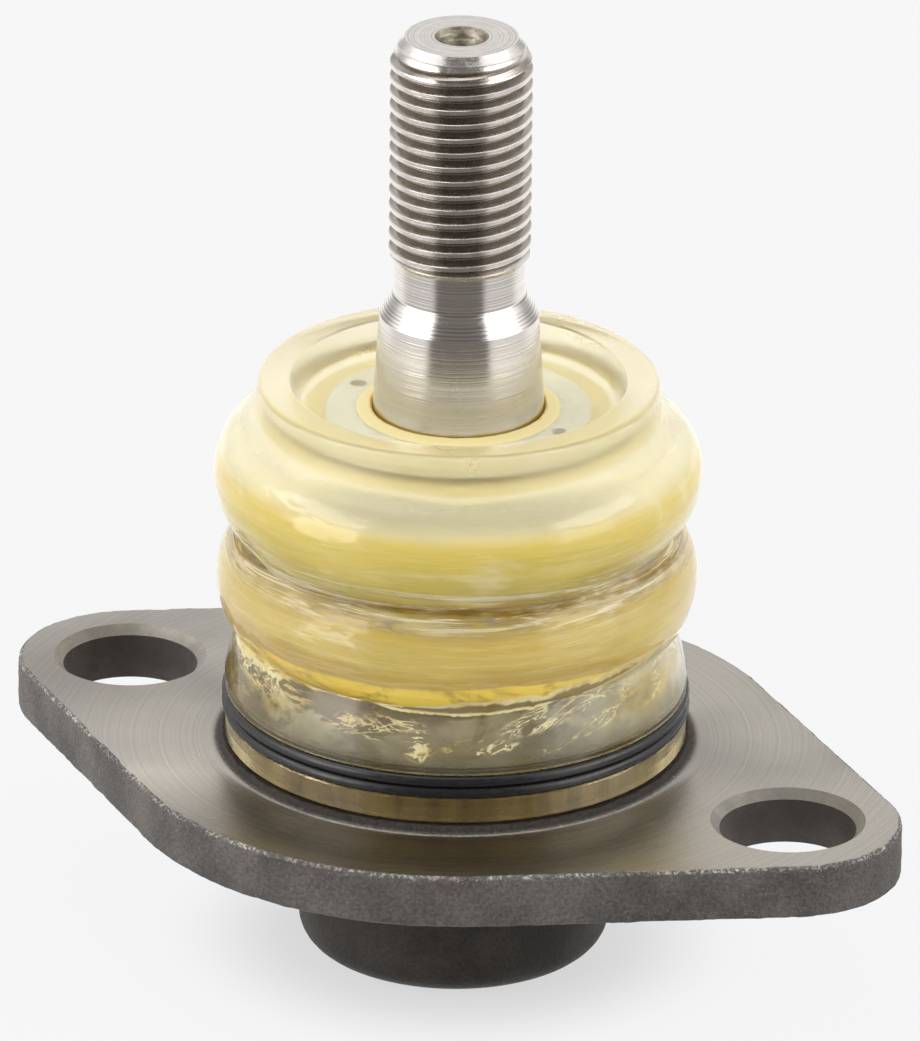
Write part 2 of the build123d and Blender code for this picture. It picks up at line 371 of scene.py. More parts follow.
studFinish = {
    "steel": (0.76, 0.73, 0.70),
    "stain": (0.52, 0.48, 0.43),
    # grime and painted shade for the thread grooves
    "groove": (0.41, 0.37, 0.33),
    # painted shade for the drilled centre hole
    "drilled": (0.22, 0.20, 0.155),
    "drilledPale": (0.46, 0.43, 0.35),
    "toolMark": (0.22, 0.20, 0.19),
    "toolPitch": 0.34 * mm,
    "shoulderLow": faceZ + 45.6 * mm,
    "shoulderHigh": faceZ + 48.1 * mm,
    "greased": (0.58, 0.56, 0.55),
    "stainLow": faceZ + 36.5 * mm,
    "stainHigh": faceZ + 43.0 * mm,
    "roughness": 0.15,
    "linesPerMetre": 5200.0,
    "grooveTop": 6.97 * mm,
    "grooveDeep": 6.84 * mm,
    "threadLow": faceZ + 52.2 * mm,
    "threadHigh": faceZ + 73.6 * mm,
}


def makeTurnedSteel():
    look = studFinish
    material, tree, shader = newMaterial("turnedSteel", look["steel"], look["roughness"], 1.0)
    place = tree.nodes.new("ShaderNodeTexCoord").outputs["Object"]
    marks = placeGroup(tree, turningMarks, place, Along=1.0, Lines=look["linesPerMetre"])
    endMarks = placeGroup(tree, turningMarks, place, Along=0.0, Lines=5200.0)
    tint = mapRange(tree, marks.outputs["Broad"], 0.35, 0.65, 0.0, 0.16)
    colour = mixColour(tree, tint, look["steel"], look["stain"])
    radius, height = radiusAndHeight(tree, place)
    threaded = mapRange(tree, height, look["threadLow"], look["threadLow"] + 0.4 * mm)
    belowTip = mapRange(tree, height, look["threadHigh"], look["threadHigh"] - 0.3 * mm)
    deep = mapRange(tree, radius, look["grooveTop"], look["grooveDeep"])
    outside = mapRange(tree, radius, 5.4 * mm, 5.9 * mm)
    # darker colour in the thread grooves: grime, and painted shade down in the grooves
    grooveGrimeAndShade = times(tree, times(tree, threaded, deep), outside)
    grooveGrimeAndShade = times(tree, grooveGrimeAndShade, belowTip)
    colour = mixColour(tree, grooveGrimeAndShade, colour, look["groove"])
    # the drilled centre hole is coloured dark as painted shade in the hole, with pale burr flecks
    bored = mapRange(tree, radius, 2.75 * mm, 2.55 * mm)
    burrs = mapRange(tree, noise(tree, scaled(tree, place, 1.0, 1.0, 3.2), 620.0, 3.0, 0.55), 0.42, 0.68)
    hole = mixColour(tree, burrs, look["drilled"], look["drilledPale"])
    colour = mixColour(tree, times(tree, threaded, bored), colour, hole)
    tool = mathNode(tree, "SINE", times(tree, height, full / look["toolPitch"]))
    tool = times(tree, mapRange(tree, tool, 0.2, 0.8), mapRange(tree, marks.outputs["Broad"], 0.3, 0.6))
    shoulder = times(tree, mapRange(tree, height, look["shoulderLow"], look["shoulderLow"] + 0.3 * mm),
                        mapRange(tree, height, look["threadLow"], look["threadLow"] - 0.5 * mm))
    coned = mapRange(tree, height, look["shoulderHigh"] + 0.3 * mm, look["shoulderHigh"], 0.3, 1.0)
    tool = times(tree, times(tree, tool, shoulder), coned)
    colour = mixColour(tree, times(tree, tool, 0.65), colour, look["toolMark"])
    greasy = mapRange(tree, height, look["stainHigh"], look["stainLow"], 0.0, 0.8)
    colour = mixColour(tree, greasy, colour, look["greased"])
    facing = tree.nodes.new("ShaderNodeSeparateXYZ")
    tree.links.new(tree.nodes.new("ShaderNodeTexCoord").outputs["Normal"], facing.inputs[0])
    onEnd = mapRange(tree, facing.outputs[2], 0.9, 0.97)
    worn = times(tree, mapRange(tree, endMarks.outputs["Fine"], 0.5, 0.66), onEnd)
    colour = mixColour(tree, times(tree, worn, 0.5), colour, look["toolMark"])
    tree.links.new(colour, shader.inputs["Base Color"])
    dents = noise(tree, scaled(tree, place, 1.0, 1.0, 1.4), 900.0, 4.0, 0.65)
    rough = mapRange(tree, marks.outputs["Fine"], 0.3, 0.7, look["roughness"] - 0.04, look["roughness"] + 0.08)
    rough = plus(tree, rough, times(tree, threaded, mapRange(tree, dents, 0.4, 0.65, 0.0, 0.16)))
    rough = plus(tree, rough, times(tree, bored, 0.3))
    tree.links.new(rough, shader.inputs["Roughness"])
    relief = plus(tree, marks.outputs["Fine"], times(tree, marks.outputs["Broad"], 0.3))
    relief = plus(tree, relief, times(tree, threaded, dents))
    relief = plus(tree, relief, times(tree, bored, times(tree, burrs, 1.6)))
    tree.links.new(bump(tree, relief, 0.6, 0.00003), shader.inputs["Normal"])
    return material


housingFinish = {
    "machined": (0.50, 0.47, 0.425),
    "machinedDark": (0.44, 0.41, 0.37),
    "skin": (0.150, 0.137, 0.128),
    "fleck": (0.55, 0.52, 0.48),
    "worn": (0.62, 0.59, 0.54),
    # painted shade for the cup under the flange plate
    "cup": (0.062, 0.055, 0.050),
    "boss": (0.050, 0.042, 0.036),
    "collar": (0.44, 0.40, 0.31),
    "collarRadius": 20.38 * mm,
    "brushed": 0.45,
    "holeSpacing": 76 * mm,
    # centre of a painted highlight on the machined top
    "rubbedAt": (-26 * mm, -20 * mm, faceZ),
    # painted shade for the bolt-hole bores
    "bore": (0.125, 0.110, 0.100),
    "chamfer": (0.30, 0.28, 0.25),
}


def makeForgedSteel():
    look = housingFinish
    material, tree, shader = newMaterial("forgedSteel", look["skin"], 0.6, 1.0)
    shader.inputs["Anisotropic"].default_value = look["brushed"]
    tangent = addNode(tree, "ShaderNodeTangent", direction_type="RADIAL", axis="Z")
    tree.links.new(tangent.outputs[0], shader.inputs["Tangent"])
    coordinates = tree.nodes.new("ShaderNodeTexCoord")
    place = coordinates.outputs["Object"]
    facing = tree.nodes.new("ShaderNodeSeparateXYZ")
    tree.links.new(coordinates.outputs["Normal"], facing.inputs[0])
    where = tree.nodes.new("ShaderNodeSeparateXYZ")
    tree.links.new(place, where.inputs[0])
    upward = mapRange(tree, facing.outputs[2], 0.93, 0.995)
    onFace = mapRange(tree, where.outputs[2], faceZ - 0.3 * mm, faceZ - 0.02 * mm)
    machined = times(tree, upward, onFace)
    onFaceEdge = mapRange(tree, where.outputs[2], faceZ - 0.7 * mm, faceZ - 0.3 * mm)
    onFaceEdge = times(tree, onFaceEdge, mapRange(tree, where.outputs[2], faceZ + 0.1 * mm, faceZ + 0.03 * mm))
    fromHole = minus(tree, mathNode(tree, "ABSOLUTE", where.outputs[0]), look["holeSpacing"] / 2)
    fromHole = mathNode(tree, "SQRT", plus(tree, times(tree, fromHole, fromHole),
                                               times(tree, where.outputs[1], where.outputs[1])))
    smoothBore = mapRange(tree, fromHole, 8.4 * mm, 7.8 * mm)
    marks = placeGroup(tree, turningMarks, place, Along=0.0, Lines=14000.0, Wander=0.00003)
    grain = placeGroup(tree, forgedGrain, place, Size=2600.0)
    edge = mapRange(tree, where.outputs[2], faceZ - 1.1 * mm, faceZ - 0.2 * mm)
    # darker going down below the flange: painted shade under the flange plate
    low = mapRange(tree, where.outputs[2], -0.6 * mm, -3 * mm)
    skin = mixColour(tree, low, look["skin"], look["cup"])
    shade = mapRange(tree, grain.outputs["Clouds"], 0.3, 0.7, 0.75, 1.25)
    skin = mixColour(tree, 1.0, skin, shade, "MULTIPLY")
    flecks = times(tree, grain.outputs["Flecks"], mapRange(tree, edge, 0, 1, 0.25, 0.95))
    flecks = times(tree, flecks, mapRange(tree, where.outputs[2], -1 * mm, 0.5 * mm))
    skin = mixColour(tree, flecks, skin, look["fleck"])
    speckle = mapRange(tree, grain.outputs["Grain"], 0.35, 0.65, 0.72, 1.22)
    skin = mixColour(tree, 1.0, skin, speckle, "MULTIPLY")
    # painted shade in the bolt holes: the bore walls are coloured dark, the upward-facing chamfer lighter
    bored = mixColour(tree, mapRange(tree, facing.outputs[2], 0.3, 0.5), look["bore"], look["chamfer"])
    bored = mixColour(tree, 1.0, bored, mapRange(tree, grain.outputs["Clouds"], 0.35, 0.65, 0.8, 1.2), "MULTIPLY")
    skin = mixColour(tree, smoothBore, skin, bored)
    slope = times(tree, mapRange(tree, facing.outputs[2], 0.12, 0.4), onFaceEdge)
    slope = times(tree, slope, mapRange(tree, smoothBore, 0, 1, 1.0, 0.35))
    worn = times(tree, slope, mapRange(tree, grain.outputs["Grain"], 0.48, 0.64))
    worn = times(tree, worn, mapRange(tree, grain.outputs["Clouds"], 0.38, 0.6, 0.25, 1.0))
    skin = mixColour(tree, worn, skin, look["worn"])
    top = mixColour(tree, mapRange(tree, marks.outputs["Broad"], 0.3, 0.7), look["machined"],
                    look["machinedDark"])
    broadShade = mapRange(tree, noise(tree, place, 38.0, 3.0, 0.5), 0.35, 0.65, 0.72, 1.08)
    top = mixColour(tree, 1.0, top, broadShade, "MULTIPLY")
    # a painted highlight: the machined top is lighter in a soft patch beside the boot and a little darker further
    # from it
    highlightDistance = tree.nodes.new("ShaderNodeVectorMath")
    highlightDistance.operation = "DISTANCE"
    tree.links.new(place, highlightDistance.inputs[0])
    highlightDistance.inputs[1].default_value = look["rubbedAt"]
    paintedHighlight = mapRange(tree, highlightDistance.outputs["Value"], 4 * mm, 20 * mm, 1.4, 0.92)
    top = mixColour(tree, 1.0, top, paintedHighlight, "MULTIPLY")
    radius, height = radiusAndHeight(tree, place)
    raised = mapRange(tree, height, faceZ + 0.12 * mm, faceZ + 0.35 * mm)
    beyond = mapRange(tree, radius, look["collarRadius"] + 0.1 * mm, look["collarRadius"] + 0.3 * mm)
    onBoss = times(tree, raised, beyond)
    onCollar = times(tree, raised, minus(tree, 1.0, beyond))
    pits = mapRange(tree, grain.outputs["Grain"], 0.35, 0.6, 0.55, 1.3)
    machined = times(tree, machined, minus(tree, 1.0, onBoss))
    skin = mixColour(tree, onBoss, skin, mixColour(tree, 1.0, look["boss"], pits, "MULTIPLY"))
    skin = mixColour(tree, onCollar, skin, look["collar"])
    metallic = mapRange(tree, machined, 0, 1, 0.55, 1.0)
    tree.links.new(metallic, shader.inputs["Metallic"])
    tree.links.new(mixColour(tree, machined, skin, top), shader.inputs["Base Color"])
    roughTop = mapRange(tree, marks.outputs["Fine"], 0.3, 0.7, 0.24, 0.34)
    roughSkin = mapRange(tree, grain.outputs["Grain"], 0.3, 0.7, 0.55, 0.75)
    mixRough = tree.nodes.new("ShaderNodeMix")
    tree.links.new(machined, mixRough.inputs[0])
    tree.links.new(roughSkin, mixRough.inputs[2])
    tree.links.new(roughTop, mixRough.inputs[3])
    tree.links.new(mixRough.outputs[0], shader.inputs["Roughness"])
    heights = tree.nodes.new("ShaderNodeMix")
    tree.links.new(machined, heights.inputs[0])
    tree.links.new(times(tree, grain.outputs["Grain"], mapRange(tree, smoothBore, 0, 1, 1.0, 0.2)),
                   heights.inputs[2])
    tree.links.new(times(tree, marks.outputs["Fine"], 0.034), heights.inputs[3])
    tree.links.new(bump(tree, heights.outputs[0], 0.8, 0.0003), shader.inputs["Normal"])
    return material


bootFinish = {
    # grease colours behind the wall, from the clear base up to the rim, by height above the flange
    "layers": (
        (12.6 * mm, (0.93, 0.71, 0.06)),
        (14.2 * mm, (0.50, 0.32, 0.006)),
        (16.4 * mm, (0.53, 0.36, 0.008)),
        (18.0 * mm, (0.68, 0.53, 0.08)),
        (20.4 * mm, (0.74, 0.53, 0.03)),
        (22.6 * mm, (0.54, 0.38, 0.02)),
        (24.2 * mm, (0.61, 0.50, 0.03)),
        (28.0 * mm, (0.82, 0.64, 0.04)),
        (30.5 * mm, (0.84, 0.66, 0.08)),
        (32.5 * mm, (0.76, 0.64, 0.20)),
        (34.0 * mm, (0.64, 0.57, 0.28)),
    ),
    "wall": (0.99, 0.97, 0.90),
    "wallPale": (1.0, 0.99, 0.96),
    "cream": (0.98, 0.87, 0.50),
    "yellow": (0.95, 0.80, 0.20),
    # painted shade for the crease between the folds
    "crease": (0.52, 0.38, 0.12),
    "creaseHeight": faceZ + 23.1 * mm,
    "creaseHalf": 0.7 * mm,
    "crinkleReach": 3.4 * mm,
    "crinkleRest": 0.12,
    # painted highlight and painted shade for the crinkles along the folds
    "crinkle": (1.0, 0.95, 0.72),
    "crinkleDark": (0.34, 0.25, 0.10),
    "amber": (0.62, 0.40, 0.015),
    "edgeCream": (1.0, 0.91, 0.60),
    "dish": (0.82, 0.70, 0.30),
    # pale cream of the rim, also laid on as painted light
    "rim": (0.95, 0.89, 0.66),
    # painted shade under the rim at the front
    "thick": (0.46, 0.42, 0.22),
    "lip": (0.78, 0.66, 0.32),
    "collarBrown": (0.80, 0.66, 0.34),
    "clear": (0.96, 0.93, 0.80),
    "wallTransmission": 0.93,
    # strength of the grease's painted glow
    "greaseGlow": 0.26,
    "frostLow": faceZ + 31.0 * mm,
    "frostHigh": faceZ + 36.0 * mm,
    "clearTransmission": 0.94,
    "filmEdge": 18.7 * mm,
    "thinEdge": 17.2 * mm,
    "haze": (0.84, 0.76, 0.52),
    "hazeBrown": (0.31, 0.23, 0.08),
    "hazePale": (0.96, 0.93, 0.80),
    "thinFilm": (0.52, 0.39, 0.14),
    "smear": (1.0, 0.94, 0.62),
    "smearDull": (0.74, 0.60, 0.27),
    # strength of the film's painted glow
    "smearGlow": 0.26,
}


def restPlace(tree):
    # the place each point had as the boot was built, so that patterns stay on the skin
    return addNode(tree, "ShaderNodeAttribute", attribute_name="restPlace").outputs["Vector"]


def creaseMask(tree, place, height):
    # the pinched line between the two folds, wandering up and down by a few tenths of a millimetre
    look = bootFinish
    wander = noise(tree, scaled(tree, place, 1.0, 1.0, 0.4), 90.0, 4.0, 0.6, 0.5)
    level = plus(tree, height, times(tree, minus(tree, wander, 0.5), 3 * mm))
    off = mathNode(tree, "ABSOLUTE", minus(tree, level, look["creaseHeight"]))
    return mapRange(tree, off, look["creaseHalf"], 0.1 * mm)


def foldCrinkles(tree, place, height):
    # painted highlights and painted shade: pale and dark lines that run along the folds, closest together in the
    # crease; the pale ones also feed the wall's bump
    look = bootFinish
    field = noise(tree, scaled(tree, place, 1.0, 1.0, 22.0), 34.0, 5.0, 0.58, 0.5)
    away = minus(tree, height, look["creaseHeight"])
    near = mapRange(tree, mathNode(tree, "ABSOLUTE", away), look["crinkleReach"], 0.8 * mm, look["crinkleRest"], 1.0)
    near = times(tree, near, mapRange(tree, height, faceZ + 31 * mm, faceZ + 28 * mm))
    lines = []
    for level, halfWidth in ((0.545, 0.030), (0.475, 0.016)):
        off = mathNode(tree, "ABSOLUTE", minus(tree, field, level))
        lines.append(times(tree, mapRange(tree, off, halfWidth, halfWidth * 0.35), near))
    return lines


def makeBootWall():
    # glassy wall, frosted towards the rim
    look = bootFinish
    material, tree, shader = newMaterial("bootWall", look["wall"], 0.15)
    place = restPlace(tree)
    clouds = noise(tree, scaled(tree, place, 1.0, 1.0, 2.0), 70.0, 3.0, 0.5, 0.6)
    radius, height = radiusAndHeight(tree, place)
    frost = mapRange(tree, height, look["frostLow"], look["frostHigh"], 0.05, 0.33)
    uneven = mapRange(tree, clouds, 0.35, 0.65, 0.75, 1.35)
    tree.links.new(times(tree, frost, uneven), shader.inputs["Roughness"])
    colour = mixColour(tree, mapRange(tree, clouds, 0.4, 0.62), look["wall"], look["wallPale"])
    # painted sheen: the wall's tint turns paler where it is seen edge on
    sides = addNode(tree, "ShaderNodeLayerWeight")
    sides.inputs["Blend"].default_value = 0.5
    colour = mixColour(tree, mapRange(tree, sides.outputs["Facing"], 0.45, 0.95), colour, look["wallPale"])
    # painted shade in the crease between the two folds: a dark brown line along it
    crease = creaseMask(tree, place, height)
    threads = noise(tree, scaled(tree, place, 1.0, 1.0, 9.0), 160.0, 3.0, 0.6, 0.8)
    pinched = times(tree, crease, mapRange(tree, threads, 0.60, 0.48))
    colour = mixColour(tree, pinched, colour, look["crease"])
    tree.links.new(colour, shader.inputs["Base Color"])
    shader.inputs["Transmission Weight"].default_value = look["wallTransmission"]
    shader.inputs["IOR"].default_value = 1.49
    shader.inputs["Sheen Weight"].default_value = 0.42
    shader.inputs["Sheen Roughness"].default_value = 0.3
    shader.inputs["Sheen Tint"].default_value = (*look["wallPale"], 1)
    pale, darker = foldCrinkles(tree, place, height)
    relief = plus(tree, clouds, times(tree, pale, 0.35))
    tree.links.new(bump(tree, relief, 0.5, 0.0008), shader.inputs["Normal"])
    return material


def photoAxes(tree, place):
    # how far a place lies to the right of the photo's middle, and how far behind it
    front = addNode(tree, "ShaderNodeVectorRotate", rotation_type="Z_AXIS")
    tree.links.new(place, front.inputs["Vector"])
    front.inputs["Angle"].default_value = -math.radians(frontAzimuth)
    axes = tree.nodes.new("ShaderNodeSeparateXYZ")
    tree.links.new(front.outputs["Vector"], axes.inputs["Vector"])
    return axes.outputs["X"], axes.outputs["Y"]


def makeBootGreased():
    # the wall's inner side, coated with yellow grease that is thickest low in each fold
    look = bootFinish
    material, tree, shader = newMaterial("bootGreased", look["yellow"], 0.45)
    place = restPlace(tree)
    clouds = noise(tree, scaled(tree, place, 1.0, 1.0, 2.4), 55.0, 3.0, 0.5, 1.0)
    streaks = noise(tree, scaled(tree, place, 1.0, 1.0, 6.0), 110.0, 3.0, 0.5, 0.4)
    radius, height = radiusAndHeight(tree, place)
    drift = times(tree, minus(tree, clouds, 0.5), 9 * mm)
    ripple = times(tree, minus(tree, streaks, 0.5), 3 * mm)
    shifted = plus(tree, plus(tree, height, drift), ripple)
    lowest = look["layers"][0][0]
    highest = look["layers"][-1][0]
    share = mapRange(tree, shifted, faceZ + lowest, faceZ + highest, smooth=False)
    ramp = tree.nodes.new("ShaderNodeValToRGB")
    tree.links.new(share, ramp.inputs["Fac"])
    stops = ramp.color_ramp.elements
    for number, (level, colour) in enumerate(look["layers"]):
        position = (level - lowest) / (highest - lowest)
        stop = stops[number] if number < 2 else stops.new(position)
        stop.position = position
        stop.color = (*colour, 1)
    patches = noise(tree, scaled(tree, place, 1.0, 1.0, 1.8), 85.0, 3.0, 0.5, 0.5)
    patchy = times(tree, mapRange(tree, patches, 0.54, 0.70),
                      mapRange(tree, height, faceZ + 21 * mm, faceZ + 27 * mm, 0.2, 0.6))
    colour = mixColour(tree, patchy, ramp.outputs["Color"], look["cream"])
    flow = noise(tree, scaled(tree, place, 1.0, 1.0, 11.0), 42.0, 4.0, 0.55, 0.35)
    overCrease = minus(tree, height, look["creaseHeight"])
    offCrease = larger(tree, overCrease, times(tree, overCrease, -1.8))
    streaked = mapRange(tree, offCrease, 6.5 * mm, 1.5 * mm, 0.12, 0.7)
    paleFlow = times(tree, mapRange(tree, flow, 0.52, 0.68), streaked)
    colour = mixColour(tree, paleFlow, colour, look["cream"])
    amberFlow = times(tree, mapRange(tree, flow, 0.47, 0.33), streaked)
    colour = mixColour(tree, amberFlow, colour, look["amber"])
    web = mapRange(tree, radius, 19.4 * mm, 18.6 * mm)
    colour = mixColour(tree, times(tree, web, mapRange(tree, height, faceZ + 31 * mm, faceZ + 32 * mm)),
                       colour, look["dish"])
    sideways, backwards = photoAxes(tree, place)
    # the rim and the top of the upper fold are pale cream, partly painted light: fullest towards the back, and at the
    # front laid over the shaded root of the rim
    rimCreamAndPaintedLight = times(tree, mapRange(tree, radius, 16.2 * mm, 17.2 * mm),
                        mapRange(tree, height, faceZ + 30 * mm, faceZ + 32 * mm))
    rimCreamAndPaintedLight = times(tree, rimCreamAndPaintedLight, mapRange(tree, backwards, -15 * mm, 2 * mm, 0.6, 1.0))
    colour = mixColour(tree, rimCreamAndPaintedLight, colour, look["rim"])
    # painted shade under the rim at the front: the grease colour is darkened there
    thick = times(tree, mapRange(tree, backwards, -11 * mm, -20 * mm, 0.0, 0.75),
                     mapRange(tree, height, faceZ + 30.6 * mm, faceZ + 32.4 * mm))
    thick = times(tree, thick, mapRange(tree, radius, 17.2 * mm, 18.8 * mm))
    colour = mixColour(tree, thick, colour, look["thick"])
    # painted shade in the crease between the two folds
    crease = creaseMask(tree, place, height)
    colour = mixColour(tree, times(tree, crease, 0.6), colour, look["crease"])
    # painted highlights and painted shade on the crinkles along the folds
    pale, darker = foldCrinkles(tree, place, height)
    colour = mixColour(tree, pale, colour, look["crinkle"])
    colour = mixColour(tree, darker, colour, look["crinkleDark"])
    lip = mapRange(tree, radius, 10.4 * mm, 9.5 * mm)
    colour = mixColour(tree, lip, colour, look["lip"])
    ragged = times(tree, noise(tree, place, 700.0, 3.0), 0.8 * mm)
    seam = mapRange(tree, plus(tree, radius, ragged), 9.35 * mm, 9.1 * mm)
    colour = mixColour(tree, seam, colour, look["amber"])
    tree.links.new(colour, shader.inputs["Base Color"])
    # painted glow: the grease emits light in its own colour, standing in for light that soaks through, strongest
    # under the lower fold
    soaked = mapRange(tree, height, faceZ + 21 * mm, faceZ + 14 * mm, 0.22, 1.0)
    glow = mixColour(tree, 1.0, colour, soaked, "MULTIPLY")
    glow = mixColour(tree, lip, glow, (0.0, 0.0, 0.0))
    tree.links.new(glow, shader.inputs["Emission Color"])
    shader.inputs["Emission Strength"].default_value = look["greaseGlow"]
    shader.inputs["Sheen Weight"].default_value = 0.7
    shader.inputs["Sheen Roughness"].default_value = 0.35
    shader.inputs["Sheen Tint"].default_value = (*look["edgeCream"], 1)
    tree.links.new(bump(tree, streaks, 0.4, 0.0006), shader.inputs["Normal"])
    return material


greaseSmears = (
    # how far to the right in the photo's view, height, half width and half height in mm, and tilt
    (-7.6, 15.2, 5.2, 1.5, 0.05),
    (-3.4, 13.8, 1.8, 1.8, 0.0),
    (2.2, 13.7, 4.2, 0.9, 0.0),
    (10.2, 16.6, 6.4, 1.5, 0.25),
    (12.4, 14.0, 4.4, 1.0, 0.3),
    (18.3, 16.4, 3.0, 3.0, 0.0),
    (-17.4, 16.2, 3.6, 1.9, 0.0),
)


def contourLines(tree, vector, scale, stretch):
    # crinkled lines where a noise passes through its middle value
    field = noise(tree, scaled(tree, vector, 1.0, 1.0, stretch), scale, 4.0, 0.62, 1.1)
    off = mathNode(tree, "ABSOLUTE", minus(tree, field, 0.5))
    return mapRange(tree, off, 0.032, 0.008)


def makeGreaseFilm():
    # grease on the inner side of the clear base: a yellow edge, a thin brown film and pale smears
    look = bootFinish
    material, tree, shader = newMaterial("greaseFilm", look["cream"], 0.35)
    place = restPlace(tree)
    radius, height = radiusAndHeight(tree, place)
    sideways, backwards = photoAxes(tree, place)
    facing = mathNode(tree, "LESS_THAN", backwards, 0.0)
    # the smears on the right rise with the boot's turn
    sheared = tree.nodes.new("ShaderNodeCombineXYZ")
    tree.links.new(sideways, sheared.inputs[0])
    tree.links.new(backwards, sheared.inputs[1])
    lean = times(tree, larger(tree, sideways, 0.0), -0.28)
    tree.links.new(plus(tree, height, lean), sheared.inputs[2])
    sheared = sheared.outputs[0]
    crinkles = larger(tree, contourLines(tree, sheared, 120.0, 2.6), contourLines(tree, sheared, 210.0, 3.4))
    smeared = 0.0
    for right, level, halfWidth, halfHeight, tilt in greaseSmears:
        across = minus(tree, sideways, right * mm)
        up = minus(tree, height, level * mm)
        up = minus(tree, up, times(tree, across, tilt))
        across = mathNode(tree, "DIVIDE", across, halfWidth * mm)
        up = mathNode(tree, "DIVIDE", up, halfHeight * mm)
        spread = plus(tree, times(tree, across, across), times(tree, up, up))
        smeared = larger(tree, smeared, mapRange(tree, spread, 1.4, 0.5))
    smeared = times(tree, smeared, facing)
    elsewhere = mapRange(tree, noise(tree, scaled(tree, place, 1.0, 1.0, 0.7), 60.0, 2.0), 0.52, 0.62, 0.0, 0.5)
    elsewhere = times(tree, elsewhere, minus(tree, 1.0, facing))
    lines = times(tree, crinkles, larger(tree, smeared, elsewhere))

    wander = noise(tree, place, 110.0, 5.0, 0.65, 1.0)
    wobble = times(tree, minus(tree, wander, 0.5), 4 * mm)
    level = plus(tree, height, wobble)
    level = minus(tree, level, times(tree, sideways, 0.09))
    upper = mapRange(tree, level, look["filmEdge"] - 0.1 * mm, look["filmEdge"] + 0.2 * mm)
    offEdge = mathNode(tree, "ABSOLUTE", minus(tree, level, look["filmEdge"]))
    edge = mapRange(tree, offEdge, 0.5 * mm, 0.2 * mm)
    sag = times(tree, times(tree, sideways, sideways), 8.5)
    thinLevel = minus(tree, plus(tree, height, times(tree, wobble, 0.4)), sag)
    thin = mapRange(tree, thinLevel, look["thinEdge"] - 0.1 * mm, look["thinEdge"] + 0.1 * mm)
    offThin = mathNode(tree, "ABSOLUTE", minus(tree, thinLevel, look["thinEdge"]))
    thinLine = times(tree, mapRange(tree, offThin, 0.25 * mm, 0.08 * mm), facing)
    thinLine = times(tree, thinLine, mapRange(tree, wander, 0.36, 0.46))

    # painted sheen: the film is denser towards the left and right as seen from the camera, so the clear base looks
    # paler at its sides
    haze = mapRange(tree, mathNode(tree, "ABSOLUTE", sideways), 10.3 * mm, 14.4 * mm, 0.48, 0.9)
    haze = times(tree, haze, mapRange(tree, height, faceZ + 5.6 * mm, faceZ + 9.5 * mm, 0.2, 1.0))
    haze = times(tree, haze, mapRange(tree, noise(tree, place, 150.0, 4.0, 0.6), 0.35, 0.6, 0.7, 1.15))
    solid = larger(tree, larger(tree, lines, edge), thinLine)
    alpha = larger(tree, haze, times(tree, thin, 0.72))
    alpha = larger(tree, larger(tree, alpha, upper), solid)
    tree.links.new(alpha, shader.inputs["Alpha"])
    mottle = noise(tree, scaled(tree, place, 1.0, 1.0, 1.8), 130.0, 5.0, 0.65, 0.6)
    colour = mixColour(tree, mapRange(tree, mottle, 0.44, 0.56), look["haze"], look["hazeBrown"])
    # paler towards the right as seen from the camera: partly a milky film, partly painted sheen
    milkyAndSheen = times(tree, mapRange(tree, sideways, 7 * mm, 17 * mm), facing)
    milkyAndSheen = times(tree, milkyAndSheen, mapRange(tree, mottle, 0.35, 0.55, 0.55, 1.0))
    colour = mixColour(tree, milkyAndSheen, colour, look["hazePale"])
    colour = mixColour(tree, thin, colour, look["thinFilm"])
    gold = mixColour(tree, mapRange(tree, mottle, 0.46, 0.62), look["layers"][0][1], look["layers"][2][1])
    colour = mixColour(tree, upper, colour, gold)
    smear = mixColour(tree, mapRange(tree, wander, 0.42, 0.58), look["smearDull"], look["smear"])
    colour = mixColour(tree, solid, colour, smear)
    tree.links.new(colour, shader.inputs["Base Color"])
    # painted glow: the yellow edge and the smears emit light
    glow = mixColour(tree, upper, (0.0, 0.0, 0.0), gold)
    tree.links.new(mixColour(tree, solid, glow, smear), shader.inputs["Emission Color"])
    shader.inputs["Emission Strength"].default_value = look["smearGlow"]
    tree.links.new(bump(tree, alpha, 0.6, 0.0003), shader.inputs["Normal"])
    return material


def makeBootClear():
    look = bootFinish
    material, tree, shader = newMaterial("bootClear", look["clear"], 0.10)
    place = restPlace(tree)
    clouds = noise(tree, scaled(tree, place, 1.0, 1.0, 2.0), 90.0, 3.0, 0.5, 0.4)
    colour = mixColour(tree, mapRange(tree, clouds, 0.4, 0.65), look["clear"], (0.75, 0.64, 0.33))
    radius, height = radiusAndHeight(tree, place)
    low = mapRange(tree, height, faceZ + 9.0 * mm, faceZ + 3.4 * mm)
    runs = noise(tree, scaled(tree, place, 1.0, 1.0, 0.12), 380.0, 4.0, 0.6)
    runs = mixColour(tree, 1.0, look["collarBrown"], mapRange(tree, runs, 0.36, 0.64, 0.72, 1.2), "MULTIPLY")
    colour = mixColour(tree, low, colour, runs)
    tree.links.new(colour, shader.inputs["Base Color"])
    shader.inputs["Transmission Weight"].default_value = look["clearTransmission"]
    shader.inputs["IOR"].default_value = 1.49
    tree.links.new(bump(tree, clouds, 0.2, 0.0004), shader.inputs["Normal"])
    return material


def makeWireBlack():
    material, tree, shader = newMaterial("wireBlack", (0.012, 0.012, 0.014), 0.3)
    place = tree.nodes.new("ShaderNodeTexCoord").outputs["Object"]
    marks = noise(tree, scaled(tree, place, 1.0, 1.0, 3.0), 900.0, 3.0)
    tree.links.new(mapRange(tree, marks, 0.35, 0.7, 0.24, 0.42), shader.inputs["Roughness"])
    tree.links.new(bump(tree, marks, 0.2, 0.00003), shader.inputs["Normal"])
    return material


